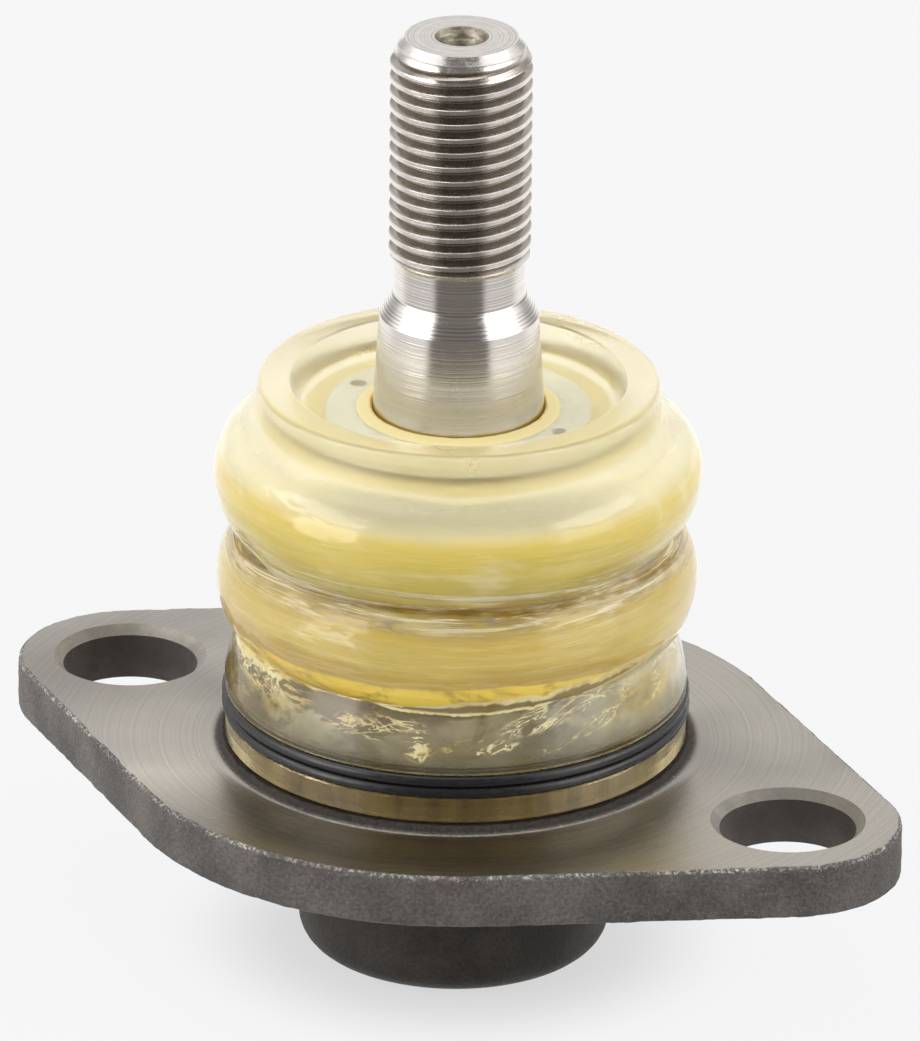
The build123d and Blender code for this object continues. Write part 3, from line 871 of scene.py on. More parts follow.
def makeInsertSteel():
    material, tree, shader = newMaterial("insertSteel", (0.92, 0.89, 0.70), 0.5, 0.1)
    place = tree.nodes.new("ShaderNodeTexCoord").outputs["Object"]
    stains = noise(tree, place, 500.0, 3.0)
    colour = mixColour(tree, mapRange(tree, stains, 0.4, 0.7, 0.0, 0.5), (0.93, 0.91, 0.72), (0.88, 0.82, 0.52))
    tree.links.new(colour, shader.inputs["Base Color"])
    return material


def makeSeatPlastic():
    material, tree, shader = newMaterial("seatPlastic", (0.86, 0.85, 0.80), 0.45)
    place = tree.nodes.new("ShaderNodeTexCoord").outputs["Object"]
    mottle = noise(tree, place, 350.0, 3.0)
    colour = mixColour(tree, mapRange(tree, mottle, 0.35, 0.7), (0.87, 0.86, 0.81), (0.80, 0.77, 0.68))
    tree.links.new(colour, shader.inputs["Base Color"])
    return material


def makeSpringSteel():
    material, tree, shader = newMaterial("springSteel", (0.30, 0.29, 0.28), 0.35, 1.0)
    place = tree.nodes.new("ShaderNodeTexCoord").outputs["Object"]
    marks = placeGroup(tree, turningMarks, place, Along=0.0, Lines=4000.0)
    tree.links.new(mapRange(tree, marks.outputs["Fine"], 0.3, 0.7, 0.28, 0.45), shader.inputs["Roughness"])
    tree.links.new(bump(tree, marks.outputs["Fine"], 0.3, 0.00003), shader.inputs["Normal"])
    return material


turnedSteel = makeTurnedSteel()
forgedSteel = makeForgedSteel()
bootWall = makeBootWall()
bootClear = makeBootClear()
bootGreased = makeBootGreased()
greaseFilm = makeGreaseFilm()
wireBlack = makeWireBlack()
insertSteel = makeInsertSteel()
seatPlastic = makeSeatPlastic()
springSteel = makeSpringSteel()
print("materials: made")


# Ball stud, turned in one piece and threaded

studShape = {
    "ballRadius": 11 * mm,
    "ballFlat": 3.5 * mm,
    "ballCentre": faceZ - 4 * mm,
    "neckRadius": 5.8 * mm,
    "neckTop": faceZ + 12.5 * mm,
    "taperBottom": faceZ + 30 * mm,
    "taperTop": faceZ + 45.8 * mm,
    "taperSmall": 7.85 * mm,
    "taperSlope": 1 / 16,
    "shoulderTop": faceZ + 48.1 * mm,
    "reliefRadius": 6.55 * mm,
    "reliefTop": faceZ + 51.7 * mm,
    "threadRadius": 7 * mm,
    "threadRoot": 6.18 * mm,
    "pitch": 1.5 * mm,
    "crestFlat": 0.44 * mm,
    "top": faceZ + 74.9 * mm,
    "tipRadius": 5.57 * mm,
    "tipSlope": 1.7,
    "tipEdge": 0.6 * mm,
    "drillRadius": 2.6 * mm,
    "pilotRadius": 1.0 * mm,
    "drillDepth": 5 * mm,
    "steps": 128,
}


def taperRadius(z):
    shape = studShape
    return shape["taperSmall"] + (shape["taperTop"] - z) * shape["taperSlope"]


def shankOutline(threadSurface):
    # the ball and shank up to the centre-drilled end, with the thread at its root or at its crest
    shape = studShape
    ball = shape["ballRadius"]
    low = math.asin(shape["ballFlat"] / ball)
    high = math.asin(shape["neckRadius"] / ball)
    ballSteps = 24
    points = [(0.0, shape["ballCentre"] - ball * math.cos(low))]
    for step in range(ballSteps + 1):
        turn = low + (math.pi - high - low) * step / ballSteps
        points.append((ball * math.sin(turn), shape["ballCentre"] - ball * math.cos(turn)))
    drillCone = (shape["drillRadius"] - shape["pilotRadius"]) / math.tan(math.radians(30))
    points += [
        (shape["neckRadius"], shape["neckTop"]),
        (taperRadius(shape["taperBottom"]), shape["taperBottom"]),
        (shape["taperSmall"], shape["taperTop"]),
        (shape["reliefRadius"], shape["shoulderTop"]),
        (shape["reliefRadius"], shape["reliefTop"]),
        (shape["reliefRadius"] + 0.33 * mm, shape["reliefTop"] + 0.45 * mm),
        (threadSurface, shape["reliefTop"] + 1.0 * mm),
        (threadSurface, shape["top"] - 1.3 * shape["tipEdge"]),
        (shape["tipRadius"] + 0.75 * shape["tipEdge"], shape["top"] - shape["tipEdge"]),
        (shape["tipRadius"], shape["top"]),
        (shape["drillRadius"], shape["top"]),
        (shape["pilotRadius"], shape["top"] - drillCone),
        (shape["pilotRadius"], shape["top"] - shape["drillDepth"]),
        (0.0, shape["top"] - shape["drillDepth"] - shape["pilotRadius"]),
    ]
    return points


def makeThreadRidge():
    # a ridge of one pitch's section is wound up the shank with the Screw modifier
    shape = studShape
    pitch = shape["pitch"]
    sunk = 0.25 * mm
    base = shape["threadRoot"] - sunk
    halfBase = (shape["threadRadius"] - base) * math.tan(math.radians(30)) + shape["crestFlat"] / 2
    halfBase = min(halfBase, 0.497 * pitch)
    halfRoot = (shape["threadRadius"] - shape["threadRoot"]) * math.tan(math.radians(30)) + shape["crestFlat"] / 2
    startZ = shape["reliefTop"] - 0.9 * pitch
    section = [
        (base, -halfBase), (shape["threadRoot"], -halfRoot),
        (shape["threadRadius"] - 0.05 * mm, -shape["crestFlat"] / 2 - 0.03 * mm),
        (shape["threadRadius"], -shape["crestFlat"] / 2 + 0.02 * mm),
        (shape["threadRadius"], shape["crestFlat"] / 2 - 0.02 * mm),
        (shape["threadRadius"] - 0.05 * mm, shape["crestFlat"] / 2 + 0.03 * mm),
        (shape["threadRoot"], halfRoot), (base, halfBase), (base, -halfBase),
    ]
    ridge = drawPath("threadRidge", [(radius, 0.0, startZ + height) for radius, height in section])
    bpy.ops.mesh.remove_doubles(threshold=0.002 * mm)
    objectMode()
    screw = ridge.modifiers.new("wind", "SCREW")
    screw.axis = "Z"
    screw.angle = full
    screw.screw_offset = pitch
    screw.iterations = math.ceil((shape["top"] - startZ) / pitch) + 1
    screw.steps = 96
    screw.render_steps = 96
    screw.use_merge_vertices = False
    applyAll(ridge)
    editMode()
    bpy.ops.mesh.fill_holes(sides=0)
    bpy.ops.mesh.select_all(action="SELECT")
    bpy.ops.mesh.normals_make_consistent(inside=False)
    objectMode()
    return ridge


def booleanWith(piece, tool, operation):
    change = piece.modifiers.new(operation.lower(), "BOOLEAN")
    change.operation = operation
    change.object = tool
    change.solver = "EXACT"
    applyAll(piece)
    bpy.data.objects.remove(tool)


def makeStud():
    shape = studShape
    stud = turnedPiece("turned_stud", shankOutline(shape["threadRoot"]), shape["steps"])
    ridge = makeThreadRidge()
    envelopeTop = shape["top"] - 1.6 * shape["tipEdge"]
    tipFall = (shape["threadRadius"] - shape["tipRadius"]) * shape["tipSlope"]
    envelope = turnedPiece("envelope", [
        (0.0, shape["reliefTop"] - 0.9 * mm),
        (shape["threadRoot"] - 0.2 * mm, shape["reliefTop"] - 0.9 * mm),
        (shape["threadRadius"] + 0.01 * mm, shape["reliefTop"] + 0.75 * mm),
        (shape["threadRadius"] + 0.01 * mm, shape["top"] - tipFall),
        (shape["tipRadius"] + 1.6 * shape["tipEdge"] / shape["tipSlope"] + 0.15 * mm, envelopeTop),
        (0.0, envelopeTop),
    ], shape["steps"])
    booleanWith(ridge, envelope, "INTERSECT")
    booleanWith(stud, ridge, "UNION")
    return finishPiece(stud, 12)


stud = makeStud()
setMaterial(stud, turnedSteel)
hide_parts("ball_stud")
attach(stud, "stud")
print("stud: threaded,", len(stud.data.polygons), "faces")


# Housing: rough forged flange plate, turned cup, boss and collar

housingShape = {
    "earSpacing": 76 * mm,
    "earRadius": 11.22 * mm,
    "discRadius": 33.42 * mm,
    "thickness": faceZ,
    "edge": 0.45 * mm,
    "layers": (0.7, 0.45, 0.45, 0.45, 0.45, 0.5, 0.45, 0.45, 0.45, 0.45, 0.7),
    "outlineStep": 0.45 * mm,
    "lumps": 0.17 * mm,
    "lumpSize": 2.6 * mm,
    "pitting": 0.16 * mm,
    "pitSize": 0.9 * mm,
    "ragged": 0.22 * mm,
    "holeRadius": 6.75 * mm,
    "holeChamfer": 0.9 * mm,
    "cupRadius": 15.5 * mm,
    "cupBottom": faceZ - 21.61 * mm,
    "cupEdge": 3.0 * mm,
    "cupRoot": 1.5 * mm,
    "cupFloor": faceZ - 18.61 * mm,
    "bore": 12.88 * mm,
    "seatTop": faceZ + 4.29 * mm,
    "ringBore": 15.91 * mm,
    "ringTop": faceZ + 7.32 * mm,
    "lipRadius": 14.28 * mm,
    "lipChamfer": 0.8 * mm,
    "collarRadius": 20.38 * mm,
    "collarTop": faceZ + 10.99 * mm,
    "collarEdge": 0.8 * mm,
    "grooveRadius": 19.58 * mm,
    "grooveLow": faceZ + 3.4 * mm,
    "grooveHigh": faceZ + 6.1 * mm,
    "bossRadius": 23.3 * mm,
    "bossTop": faceZ + 0.8 * mm,
    "bossFoot": 25.2 * mm,
    "bossRagged": 0.6 * mm,
    "steps": 224,
}


def plateOutline():
    # hull of the disc and its two ears, with points close enough together to be roughened
    shape = housingShape
    far = shape["earSpacing"] / 2
    turn = math.acos((shape["discRadius"] - shape["earRadius"]) / far)
    arcs = ((far, shape["earRadius"], -turn, turn), (0.0, shape["discRadius"], turn, math.pi - turn),
            (-far, shape["earRadius"], math.pi - turn, math.pi + turn),
            (0.0, shape["discRadius"], math.pi + turn, full - turn))
    points = []
    for centre, radius, start, end in arcs:
        if points:
            corner = (centre + radius * math.cos(start), radius * math.sin(start))
            points += straightPoints(points[-1], corner, shape["outlineStep"])
        count = math.ceil(radius * (end - start) / shape["outlineStep"])
        angles = [start + (end - start) * step / count for step in range(count + 1)]
        points += [(centre + radius * math.cos(angle), radius * math.sin(angle)) for angle in angles]
    return points + straightPoints(points[-1], points[0], shape["outlineStep"]) + [points[0]]


def straightPoints(start, end, spacing):
    count = math.ceil(math.dist(start, end) / spacing)
    return [tuple(a + (b - a) * step / count for a, b in zip(start, end)) for step in range(1, count)]


def roughen(piece, group, strength, size, direction):
    texture = bpy.data.textures.new(group + direction.title(), "CLOUDS")
    texture.noise_scale = size
    texture.noise_depth = 3
    wear = piece.modifiers.new(group + direction.title(), "DISPLACE")
    wear.texture = texture
    wear.vertex_group = group
    wear.direction = direction
    wear.strength = strength
    wear.mid_level = 0.5


def makePlate():
    shape = housingShape
    plate = drawPath("forged_housing", [(x, y, 0.0) for x, y in plateOutline()])
    bpy.ops.mesh.remove_doubles(threshold=0.002 * mm)
    bpy.ops.mesh.edge_face_add()
    rises = [share * shape["thickness"] / sum(shape["layers"]) for share in shape["layers"]]
    for rise in rises:
        bpy.ops.mesh.extrude_region_move(TRANSFORM_OT_translate={"value": (0, 0, rise)})
    bpy.ops.mesh.select_all(action="SELECT")
    bpy.ops.mesh.normals_make_consistent(inside=False)
    objectMode()
    rounded = plate.modifiers.new("roundedEdge", "BEVEL")
    rounded.width = shape["edge"]
    rounded.segments = 3
    rounded.limit_method = "ANGLE"
    rounded.angle_limit = math.radians(60)
    applyAll(plate)
    side = plate.vertex_groups.new(name="side")
    rim = plate.vertex_groups.new(name="rim")
    for vertex in plate.data.vertices:
        inner = 0.01 * mm < vertex.co.z < shape["thickness"] - 0.01 * mm
        (side if inner else rim).add([vertex.index], 1.0, "REPLACE")
    roughen(plate, "side", shape["lumps"], shape["lumpSize"], "NORMAL")
    roughen(plate, "rim", shape["ragged"], shape["pitSize"] * 1.3, "X")
    roughen(plate, "rim", shape["ragged"], shape["pitSize"] * 1.7, "Y")
    applyAll(plate)
    roughen(plate, "side", shape["pitting"], shape["pitSize"], "NORMAL")
    applyAll(plate)
    plate.vertex_groups.clear()
    return plate


def bodyOutline():
    # cup, boss and collar with the stepped bore, as one closed section
    shape = housingShape
    sunk = shape["thickness"] / 2
    rootRadius = shape["cupRadius"] + shape["cupRoot"]
    footRadius = shape["bossFoot"]
    points = [(0.0, shape["cupBottom"]), (shape["cupRadius"] - shape["cupEdge"], shape["cupBottom"])]
    points += roundCorner((shape["cupRadius"] - shape["cupEdge"], shape["cupBottom"] + shape["cupEdge"]),
                          shape["cupEdge"], -90, 0, 8)
    points += roundCorner((rootRadius, -shape["cupRoot"]), shape["cupRoot"], 180, 90, 6)
    points += [(rootRadius, sunk), (footRadius, sunk), (footRadius, faceZ)]
    bossEdge = (shape["bossRadius"], shape["bossTop"] - 0.1 * mm)
    points += bendPoints(points[-1], (shape["bossRadius"] + 0.2 * mm, faceZ), bossEdge, 8)
    points += [
        (shape["bossRadius"] - 0.1 * mm, shape["bossTop"]),
        (shape["collarRadius"], shape["bossTop"]), (shape["collarRadius"], shape["grooveLow"]),
        (shape["grooveRadius"], shape["grooveLow"]), (shape["grooveRadius"], shape["grooveHigh"]),
        (shape["collarRadius"], shape["grooveHigh"]),
        (shape["collarRadius"], shape["collarTop"] - shape["collarEdge"]),
        (shape["collarRadius"] - shape["collarEdge"], shape["collarTop"]),
        (shape["lipRadius"] + shape["lipChamfer"], shape["collarTop"]),
        (shape["lipRadius"], shape["collarTop"] - shape["lipChamfer"]), (shape["lipRadius"], shape["ringTop"]),
        (shape["ringBore"], shape["ringTop"]), (shape["ringBore"], shape["seatTop"]),
        (shape["bore"], shape["seatTop"]), (shape["bore"], shape["cupFloor"]), (0.0, shape["cupFloor"]),
    ]
    return points


def roundCorner(centre, radius, start, end, count):
    angles = [math.radians(start + (end - start) * step / count) for step in range(count + 1)]
    return [(centre[0] + radius * math.cos(angle), centre[1] + radius * math.sin(angle)) for angle in angles]


def makeHousing():
    shape = housingShape
    plate = makePlate()
    over = 1 * mm
    middle = (shape["bore"] + shape["cupRadius"]) / 2
    opening = turnedPiece("opening", [(0.0, -over), (middle, -over), (middle, faceZ + over), (0.0, faceZ + over)], 48)
    booleanWith(plate, opening, "DIFFERENCE")
    for side in (-1, 1):
        mouth = shape["holeRadius"] + shape["holeChamfer"]
        hole = turnedPiece("hole", [
            (0.0, -over), (shape["holeRadius"], -over), (shape["holeRadius"], faceZ - shape["holeChamfer"]),
            (mouth + over, faceZ + over), (0.0, faceZ + over),
        ], 96)
        hole.location.x = side * shape["earSpacing"] / 2
        booleanWith(plate, hole, "DIFFERENCE")
    body = turnedPiece("body", bodyOutline(), shape["steps"])
    boss = body.vertex_groups.new(name="boss")
    for vertex in body.data.vertices:
        beyond = math.hypot(vertex.co.x, vertex.co.y) > shape["collarRadius"] + 0.5 * mm
        if beyond and vertex.co.z > faceZ + 0.35 * mm:
            boss.add([vertex.index], 1.0, "REPLACE")
    roughen(body, "boss", shape["bossRagged"], shape["pitSize"] * 1.6, "X")
    roughen(body, "boss", shape["bossRagged"], shape["pitSize"] * 1.1, "Y")
    applyAll(body)
    body.vertex_groups.clear()
    booleanWith(plate, body, "UNION")
    return finishPiece(plate, 32)


housing = makeHousing()
setMaterial(housing, forgedSteel)
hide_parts("housing")
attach(housing, "housing")
print("housing: forged,", len(housing.data.polygons), "faces")


# Boot: lip and wire groove, two folds, dished top and the lip on the stud

bootShape = {
    "inner": 20.63 * mm,
    "baseOuter": 22.93 * mm,
    "grooveFloor": 21.98 * mm,
    "bottom": faceZ + 0.95 * mm,
    "grooveLow": faceZ + 3.5 * mm,
    "grooveHigh": faceZ + 6.0 * mm,
    "baseTop": faceZ + 7.7 * mm,
    "waist": 21.73 * mm,
    "lowerWaist": faceZ + 12.7 * mm,
    "lowerCrest": 23.83 * mm,
    "upperWaist": faceZ + 23.3 * mm,
    "upperCrestZ": faceZ + 29.3 * mm,
    "upperCrest": 24.13 * mm,
    "rimRoot": faceZ + 34.9 * mm,
    "rimRadius": 19.8 * mm,
    "rimFillet": 2.6 * mm,
    "rimTop": faceZ + 38.7 * mm,
    "rimInner": 16.6 * mm,
    "dishRadius": 15.4 * mm,
    "dish": faceZ + 35.5 * mm,
    "skin": 0.12 * mm,
    "pocketIn": 9.79 * mm,
    "pocketOut": 13.19 * mm,
    "pocketFloor": faceZ + 33.9 * mm,
    "lipTop": faceZ + 36.0 * mm,
    "lipBottom": faceZ + 31.0 * mm,
    "lipGap": 0.1 * mm,
    "lipWall": 1.3 * mm,
    "wall": 1.1 * mm,
    "web": faceZ + 32.8 * mm,
    "beadRadius": 19.83 * mm,
    "beadLow": faceZ + 3.65 * mm,
    "beadHigh": faceZ + 5.85 * mm,
    "steps": 160,
    "foldSteps": 12,
}


def bootOutline():
    shape = bootShape
    lowerCrestZ = (shape["lowerWaist"] + shape["upperWaist"]) / 2
    lowerCrest = (shape["lowerCrest"], lowerCrestZ)
    upperCrest = (shape["upperCrest"], shape["upperCrestZ"])
    lowerInside = (lowerCrest[0] - shape["wall"], lowerCrestZ)
    upperInside = (upperCrest[0] - shape["wall"], shape["upperCrestZ"])
    inside = shape["waist"] - shape["wall"]
    webEdge = shape["rimRadius"] - shape["wall"]
    count = shape["foldSteps"]
    top = shape["dish"] + shape["skin"]
    lowWaist = (shape["waist"], shape["lowerWaist"])
    highWaist = (shape["waist"], shape["upperWaist"])
    lipOut = taperRadius(shape["lipBottom"]) + shape["lipGap"] + shape["lipWall"]

    outer = [(shape["inner"], shape["bottom"]), (shape["baseOuter"] - 0.2 * mm, shape["bottom"]),
             (shape["baseOuter"], shape["bottom"] + 0.2 * mm),
             (shape["baseOuter"], shape["grooveLow"] - 0.15 * mm),
             (shape["baseOuter"] - 0.15 * mm, shape["grooveLow"]),
             (shape["grooveFloor"], shape["grooveLow"]), (shape["grooveFloor"], shape["grooveHigh"]),
             (shape["baseOuter"] - 0.15 * mm, shape["grooveHigh"]),
             (shape["baseOuter"], shape["grooveHigh"] + 0.15 * mm),
             (shape["baseOuter"], shape["baseTop"])]
    outer += [lowWaist]
    outer += list(reversed(arcPoints(lowerCrest, lowWaist, count)))[1:] + [lowerCrest]
    outer += arcPoints(lowerCrest, highWaist, count)
    outer += list(reversed(arcPoints(upperCrest, highWaist, count)))[1:] + [upperCrest]
    fold = arcPoints(upperCrest, (shape["rimRadius"], shape["rimRoot"]), count)
    outer += [point for point in fold if point[0] > shape["rimRadius"] + shape["rimFillet"]]
    outer += bendPoints(outer[-1], (shape["rimRadius"], shape["rimRoot"] + 0.3 * mm),
                        (shape["rimRadius"], shape["rimRoot"] + shape["rimFillet"]), 9)
    soft = 0.5 * mm
    rim, rimInner, rimTop = shape["rimRadius"], shape["rimInner"], shape["rimTop"]
    outer += [(rim, rimTop - soft), (rim - 0.15 * soft, rimTop - 0.5 * soft),
              (rim - 0.5 * soft, rimTop - 0.15 * soft), (rim - soft, rimTop),
              (rimInner + soft, rimTop), (rimInner + 0.15 * soft, rimTop - 0.3 * soft),
              (rimInner - 0.1 * mm, rimTop - soft),
              (shape["dishRadius"] + 0.25 * mm, top + 0.6 * mm), (shape["dishRadius"] - 0.1 * mm, top + 0.2 * mm),
              (shape["dishRadius"] - 0.6 * mm, top)]
    lip = [(shape["pocketOut"], top), (shape["pocketIn"] + 0.3 * mm, top),
           (shape["pocketIn"] - 0.1 * mm, top + 0.12 * mm),
           (taperRadius(shape["lipTop"]) + shape["lipGap"] + 0.5 * mm, shape["lipTop"]),
           (taperRadius(shape["lipTop"]) + shape["lipGap"] + 0.15 * mm, shape["lipTop"]),
           (taperRadius(shape["lipTop"]) + shape["lipGap"], shape["lipTop"] - 0.15 * mm),
           (taperRadius(shape["lipBottom"]) + shape["lipGap"], shape["lipBottom"]),
           (lipOut, shape["lipBottom"]), (lipOut, shape["web"]), (webEdge, shape["web"])]
    inner = list(reversed(arcPoints(upperInside, (webEdge, shape["web"]), count)))[1:] + [upperInside]
    inner += arcPoints(upperInside, (inside, shape["upperWaist"]), count)
    inner += list(reversed(arcPoints(lowerInside, (inside, shape["upperWaist"]), count)))[1:] + [lowerInside]
    inner += arcPoints(lowerInside, (inside, shape["lowerWaist"]), count)
    inner += [(shape["inner"], shape["beadHigh"]), (shape["beadRadius"], shape["beadHigh"]),
              (shape["beadRadius"], shape["beadLow"]), (shape["inner"], shape["beadLow"]),
              (shape["inner"], shape["bottom"])]
    return outer + lip + inner


def pushFold(boot, place, move, reach):
    # proportional editing drags the skin near one place
    pick(boot)
    bpy.ops.object.mode_set(mode="EDIT")
    bpy.ops.mesh.select_all(action="DESELECT")
    objectMode()
    for vertex in boot.data.vertices:
        vertex.select = (vertex.co - Vector(place)).length < 1.6 * mm
    bpy.ops.object.mode_set(mode="EDIT")
    bpy.ops.transform.translate(value=move, use_proportional_edit=True,
                                proportional_edit_falloff="SMOOTH", proportional_size=reach)
    objectMode()


def wrinkleFolds(boot):
    # the folds aren't quite level: a cloud texture lifts and lowers them by tenths of a millimetre
    folds = boot.vertex_groups.new(name="folds")
    low = bootShape["lowerWaist"]
    high = bootShape["rimRoot"]
    for vertex in boot.data.vertices:
        inFold = min(vertex.co.z - low, high - vertex.co.z) / (3 * mm)
        radius = math.hypot(vertex.co.x, vertex.co.y)
        if inFold > 0 and radius > 18.5 * mm:
            folds.add([vertex.index], min(1.0, inFold), "REPLACE")
    texture = bpy.data.textures.new("foldUnevenness", "CLOUDS")
    texture.noise_scale = 13 * mm
    wave = boot.modifiers.new("uneven", "DISPLACE")
    wave.texture = texture
    wave.direction = "Z"
    wave.strength = 1.5 * mm
    wave.mid_level = 0.5
    wave.vertex_group = "folds"
    applyAll(boot)
    boot.vertex_groups.clear()


def keepRestPlace(piece):
    places = piece.data.attributes.new("restPlace", "FLOAT_VECTOR", "POINT")
    for vertex, place in zip(piece.data.vertices, places.data):
        place.vector = vertex.co


def photoPoint(sideways, radius, z):
    # a point on a ring of this radius, this far to the right of the middle in the photo's view
    turn = math.radians(frontAzimuth)
    forward = math.sqrt(radius ** 2 - sideways ** 2)
    return (sideways * math.cos(turn) + forward * math.sin(turn),
            sideways * math.sin(turn) - forward * math.cos(turn), z)


def makeBoot():
    shape = bootShape
    boot = turnedPiece("boot_shell", bootOutline(), shape["steps"])
    setMaterial(boot, bootWall, bootClear, bootGreased, greaseFilm)
    clearBelow = shape["lowerWaist"] + 2.3 * mm
    for face in boot.data.polygons:
        place = face.center
        outward = face.normal.x * place.x + face.normal.y * place.y
        underWeb = face.normal.z < -0.7 and place.z > shape["lipBottom"] - 0.1 * mm
        lipBore = taperRadius(place.z) + shape["lipGap"] + 0.2 * mm
        inLip = math.hypot(place.x, place.y) < lipBore and place.z < shape["lipTop"] - 0.1 * mm
        inside = outward < 0 and place.z < shape["web"] + 0.1 * mm or underWeb or inLip
        clear = place.z < clearBelow
        onFilm = clear and inside and place.z > shape["beadHigh"]
        onLip = math.hypot(place.x, place.y) < shape["pocketIn"] + 0.2 * mm and place.z > shape["pocketFloor"]
        face.material_index = 3 if onFilm else 1 if clear else 2 if inside or onLip else 0
    wrinkleFolds(boot)
    pushFold(boot, photoPoint(-14 * mm, shape["waist"], shape["upperWaist"]), (0, 0, -1.2 * mm), 9 * mm)
    pushFold(boot, photoPoint(20 * mm, shape["waist"], shape["upperWaist"]), (0, 0, 0.6 * mm), 8 * mm)
    finishPiece(boot, 40)
    keepRestPlace(boot)
    return boot


boot = makeBoot()
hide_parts("boot")
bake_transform(boot)
print("boot: spun,", len(boot.data.polygons), "faces")


# Pieces whose CAD shape stays get their finish

for nodeName, finish in (("closing_ring", springSteel), ("upper_seat", seatPlastic),
                         ("lower_seat", seatPlastic), ("disc_spring", springSteel),
                         ("boot_insert_ring", insertSteel), ("boot_wire_ring", wireBlack)):
    setMaterial(frame["nodes"][nodeName], finish)
print("carried nodes: finished")


# Floor, lights and background

stageLook = {
    "white": 0.9216,
    "floorColour": 0.78,
    "floorSize": 40.0,
    "shadowShare": 0.33,
    "shadowRest": 0.04,
    "shadowNear": 15 * mm,
    "shadowFar": 30 * mm,
    "ambient": 0.84,
    "behindGlass": 1.15,
    "sunAngle": 50.0,
    "sunStrength": 0.75,
    "sunFrom": (-0.25, 0.05, 1.0),
}

cameraLook = {
    "azimuth": frontAzimuth,
    "elevation": 24.36,
    "distance": 1.5167,
    "pitch": 0.81,
    "yaw": 0.01,
    "roll": 0.53,
    "focalPixels": 15243.0,
    "imageHeight": 1041.0,
    "sensor": 36.0,
}


def makeFloor():
    look = stageLook
    deselectAll()
    bpy.ops.mesh.primitive_circle_add(vertices=64, radius=look["floorSize"] / 2, fill_type="NGON",
                                      location=(0, 0, floorZ))
    floor = startPiece("studio_floor")
    bpy.ops.object.transform_apply(location=True)
    material = bpy.data.materials.new("floorWhite")
    material.use_nodes = True
    tree = material.node_tree
    shader = tree.nodes["Principled BSDF"]
    white = look["white"]
    pale = look["floorColour"]
    shader.inputs["Base Color"].default_value = (pale, pale, pale, 1)
    shader.inputs["Roughness"].default_value = 0.9
    shader.inputs["Specular IOR Level"].default_value = 0.0
    glow = addNode(tree, "ShaderNodeEmission", Strength=1.0)
    glow.inputs["Color"].default_value = (white, white, white, 1)
    rays = tree.nodes.new("ShaderNodeLightPath")
    seen = larger(tree, rays.outputs["Is Camera Ray"], rays.outputs["Is Transmission Ray"])
    radius, height = radiusAndHeight(tree, tree.nodes.new("ShaderNodeTexCoord").outputs["Object"])
    shadow = mapRange(tree, radius, look["shadowNear"], look["shadowFar"], look["shadowShare"], look["shadowRest"])
    share = times(tree, seen, minus(tree, 1.0, shadow))
    mix = tree.nodes.new("ShaderNodeMixShader")
    tree.links.new(share, mix.inputs[0])
    tree.links.new(shader.outputs[0], mix.inputs[1])
    tree.links.new(glow.outputs[0], mix.inputs[2])
    tree.links.new(mix.outputs[0], tree.nodes["Material Output"].inputs["Surface"])
    setMaterial(floor, material)
    floor.visible_glossy = False


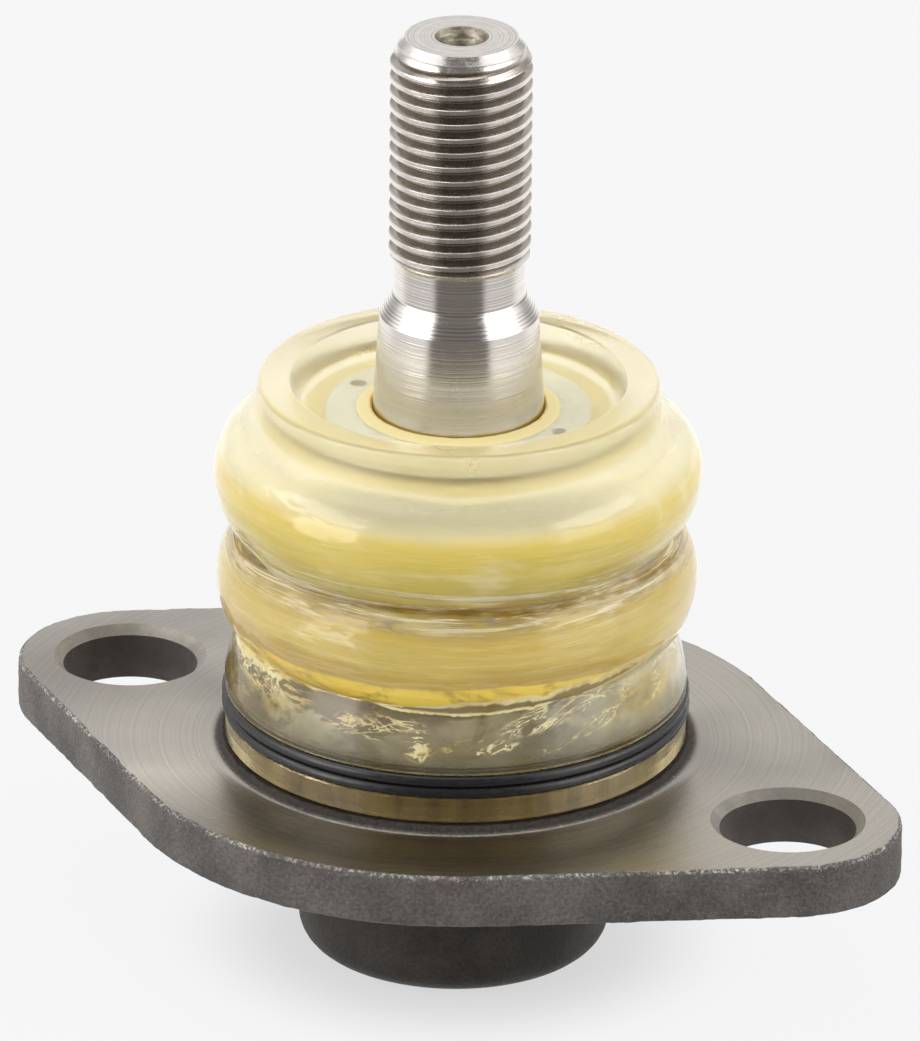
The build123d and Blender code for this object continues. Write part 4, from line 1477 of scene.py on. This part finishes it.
def makeWorld():
    look = stageLook
    world = bpy.data.worlds.new("studio")
    bpy.context.scene.world = world
    world.use_nodes = True
    tree = world.node_tree
    base = tree.nodes["Background"]
    out = tree.nodes["World Output"]
    white = look["white"]
    turn = math.radians(cameraLook["azimuth"])
    direction = tree.nodes.new("ShaderNodeTexCoord").outputs["Generated"]
    split = tree.nodes.new("ShaderNodeSeparateXYZ")
    tree.links.new(direction, split.inputs[0])
    x, y, z = split.outputs
    level = mathNode(tree, "SQRT", plus(tree, times(tree, x, x),
                                            times(tree, y, y)))
    front = plus(tree, times(tree, x, math.sin(turn)),
                     times(tree, y, -math.cos(turn)))
    front = mathNode(tree, "DIVIDE", front, larger(tree, level, 0.001))
    dark = mapRange(tree, front, math.cos(math.radians(48)), math.cos(math.radians(38)))
    away = mapRange(tree, z, 0.985, 0.86)
    dark = times(tree, dark, away)
    behind = mapRange(tree, front, math.cos(math.radians(100)), math.cos(math.radians(125)))
    sides = mixColour(tree, mapRange(tree, z, -0.25, 0.35), (1.0, 0.98, 0.965), (1.25, 1.24, 1.22))
    sides = mixColour(tree, mapRange(tree, z, -0.28, -0.40), sides, (0.64, 0.62, 0.60))
    band = times(tree, mapRange(tree, z, 0.12, 0.34), mapRange(tree, z, 0.72, 0.5))
    backdrop = mixColour(tree, band, (0.52, 0.51, 0.50), (0.98, 0.97, 0.955))
    backdrop = mixColour(tree, mapRange(tree, z, 0.0, -0.14), backdrop, (1.15, 1.14, 1.12))
    bright = mixColour(tree, behind, sides, backdrop)
    glossy = mixColour(tree, dark, bright, (0.20, 0.185, 0.175))
    # a soft box above each side and a strip below it, the stronger one on the left
    boxHeight = times(tree, mapRange(tree, z, 0.30, 0.36), mapRange(tree, z, 0.66, 0.56))
    boxSide = times(tree, mapRange(tree, front, -0.25, -0.1), mapRange(tree, front, 0.72, 0.62))
    glossy = mixColour(tree, times(tree, boxHeight, boxSide), glossy, (4.5, 4.4, 4.2))
    right = plus(tree, times(tree, x, math.cos(turn)),
                     times(tree, y, math.sin(turn)))
    boxHeight = times(tree, mapRange(tree, z, -0.14, -0.04), mapRange(tree, z, 0.30, 0.24))
    boxSide = times(tree, mapRange(tree, front, 0.18, 0.26), mapRange(tree, front, 0.68, 0.62))
    strip = times(tree, boxHeight, boxSide)
    onLeft = mapRange(tree, right, -0.2, 0.2, 1.0, 0.4)
    glossy = mixColour(tree, times(tree, strip, onLeft), glossy, (5.0, 4.9, 4.7))
    ambient = mixColour(tree, mapRange(tree, z, -0.2, 0.6), (0.85, 0.85, 0.86), (1.0, 1.0, 1.0))
    towards = times(tree, mapRange(tree, front, 0.1, 0.95), mapRange(tree, z, 0.8, 0.3))
    beside = times(tree, mapRange(tree, front, -0.7, -0.2), mapRange(tree, z, 0.9, 0.5))
    ambient = mixColour(tree, beside, ambient, (2.9, 2.9, 2.9))
    ambient = mixColour(tree, towards, ambient, (0.31, 0.31, 0.31))
    glossyLight = addNode(tree, "ShaderNodeBackground", Strength=1.0)
    tree.links.new(glossy, glossyLight.inputs["Color"])
    base.inputs["Strength"].default_value = look["ambient"]
    tree.links.new(ambient, base.inputs["Color"])
    shown = addNode(tree, "ShaderNodeBackground", Strength=1.0)
    shown.inputs["Color"].default_value = (white, white, white, 1)
    rays = tree.nodes.new("ShaderNodeLightPath")
    straight = mathNode(tree, "LESS_THAN", rays.outputs["Diffuse Depth"], 0.5)
    bounced = minus(tree, 1.0, straight)
    bounced = times(tree, bounced, rays.outputs["Is Transmission Ray"])
    strength = mapRange(tree, bounced, 0, 1, look["ambient"], look["behindGlass"], smooth=False)
    tree.links.new(strength, base.inputs["Strength"])
    straight = times(tree, straight, rays.outputs["Is Transmission Ray"])
    seen = larger(tree, rays.outputs["Is Camera Ray"], straight)
    first = tree.nodes.new("ShaderNodeMixShader")
    mirrored = times(tree, rays.outputs["Is Glossy Ray"], minus(tree, 1.0, bounced))
    tree.links.new(mirrored, first.inputs[0])
    tree.links.new(base.outputs[0], first.inputs[1])
    tree.links.new(glossyLight.outputs[0], first.inputs[2])
    second = tree.nodes.new("ShaderNodeMixShader")
    tree.links.new(seen, second.inputs[0])
    tree.links.new(first.outputs[0], second.inputs[1])
    tree.links.new(shown.outputs[0], second.inputs[2])
    tree.links.new(second.outputs[0], out.inputs["Surface"])


def makeLamp():
    look = stageLook
    deselectAll()
    bpy.ops.object.light_add(type="SUN", location=(0, 0, 1))
    lamp = bpy.context.object
    lamp.name = "soft_key"
    lamp.data.energy = look["sunStrength"]
    lamp.data.angle = math.radians(look["sunAngle"])
    lamp.rotation_mode = "QUATERNION"
    lamp.rotation_quaternion = Vector(look["sunFrom"]).to_track_quat("Z", "Y")


def makeCamera():
    look = cameraLook
    azimuth = math.radians(look["azimuth"])
    elevation = math.radians(look["elevation"])
    back = Vector((math.sin(azimuth) * math.cos(elevation), -math.cos(azimuth) * math.cos(elevation),
                   math.sin(elevation)))
    forward = -back
    right = Vector((math.cos(azimuth), math.sin(azimuth), 0))
    up = right.cross(forward)
    pitch = Matrix.Rotation(math.radians(look["pitch"]), 3, right)
    forward = pitch @ forward
    up = pitch @ up
    yaw = Matrix.Rotation(-math.radians(look["yaw"]), 3, up)
    forward = yaw @ forward
    right = forward.cross(up)
    roll = math.radians(look["roll"])
    tiltedRight = right * math.cos(roll) + up * math.sin(roll)
    tiltedUp = tiltedRight.cross(forward)
    turned = Matrix((tiltedRight, tiltedUp, -forward)).transposed()
    deselectAll()
    bpy.ops.object.camera_add(location=back * look["distance"] + Vector((0, 0, faceZ)))
    camera = bpy.context.object
    camera.name = "photo_camera"
    camera.rotation_euler = turned.to_euler()
    camera.data.sensor_width = look["sensor"]
    camera.data.lens = look["focalPixels"] * look["sensor"] / look["imageHeight"]
    camera.data.clip_start = 0.05
    camera.data.clip_end = 60
    bpy.context.scene.camera = camera


makeFloor()
makeWorld()
makeLamp()
makeCamera()
bpy.context.scene.view_settings.view_transform = "Standard"
print("studio: ready")
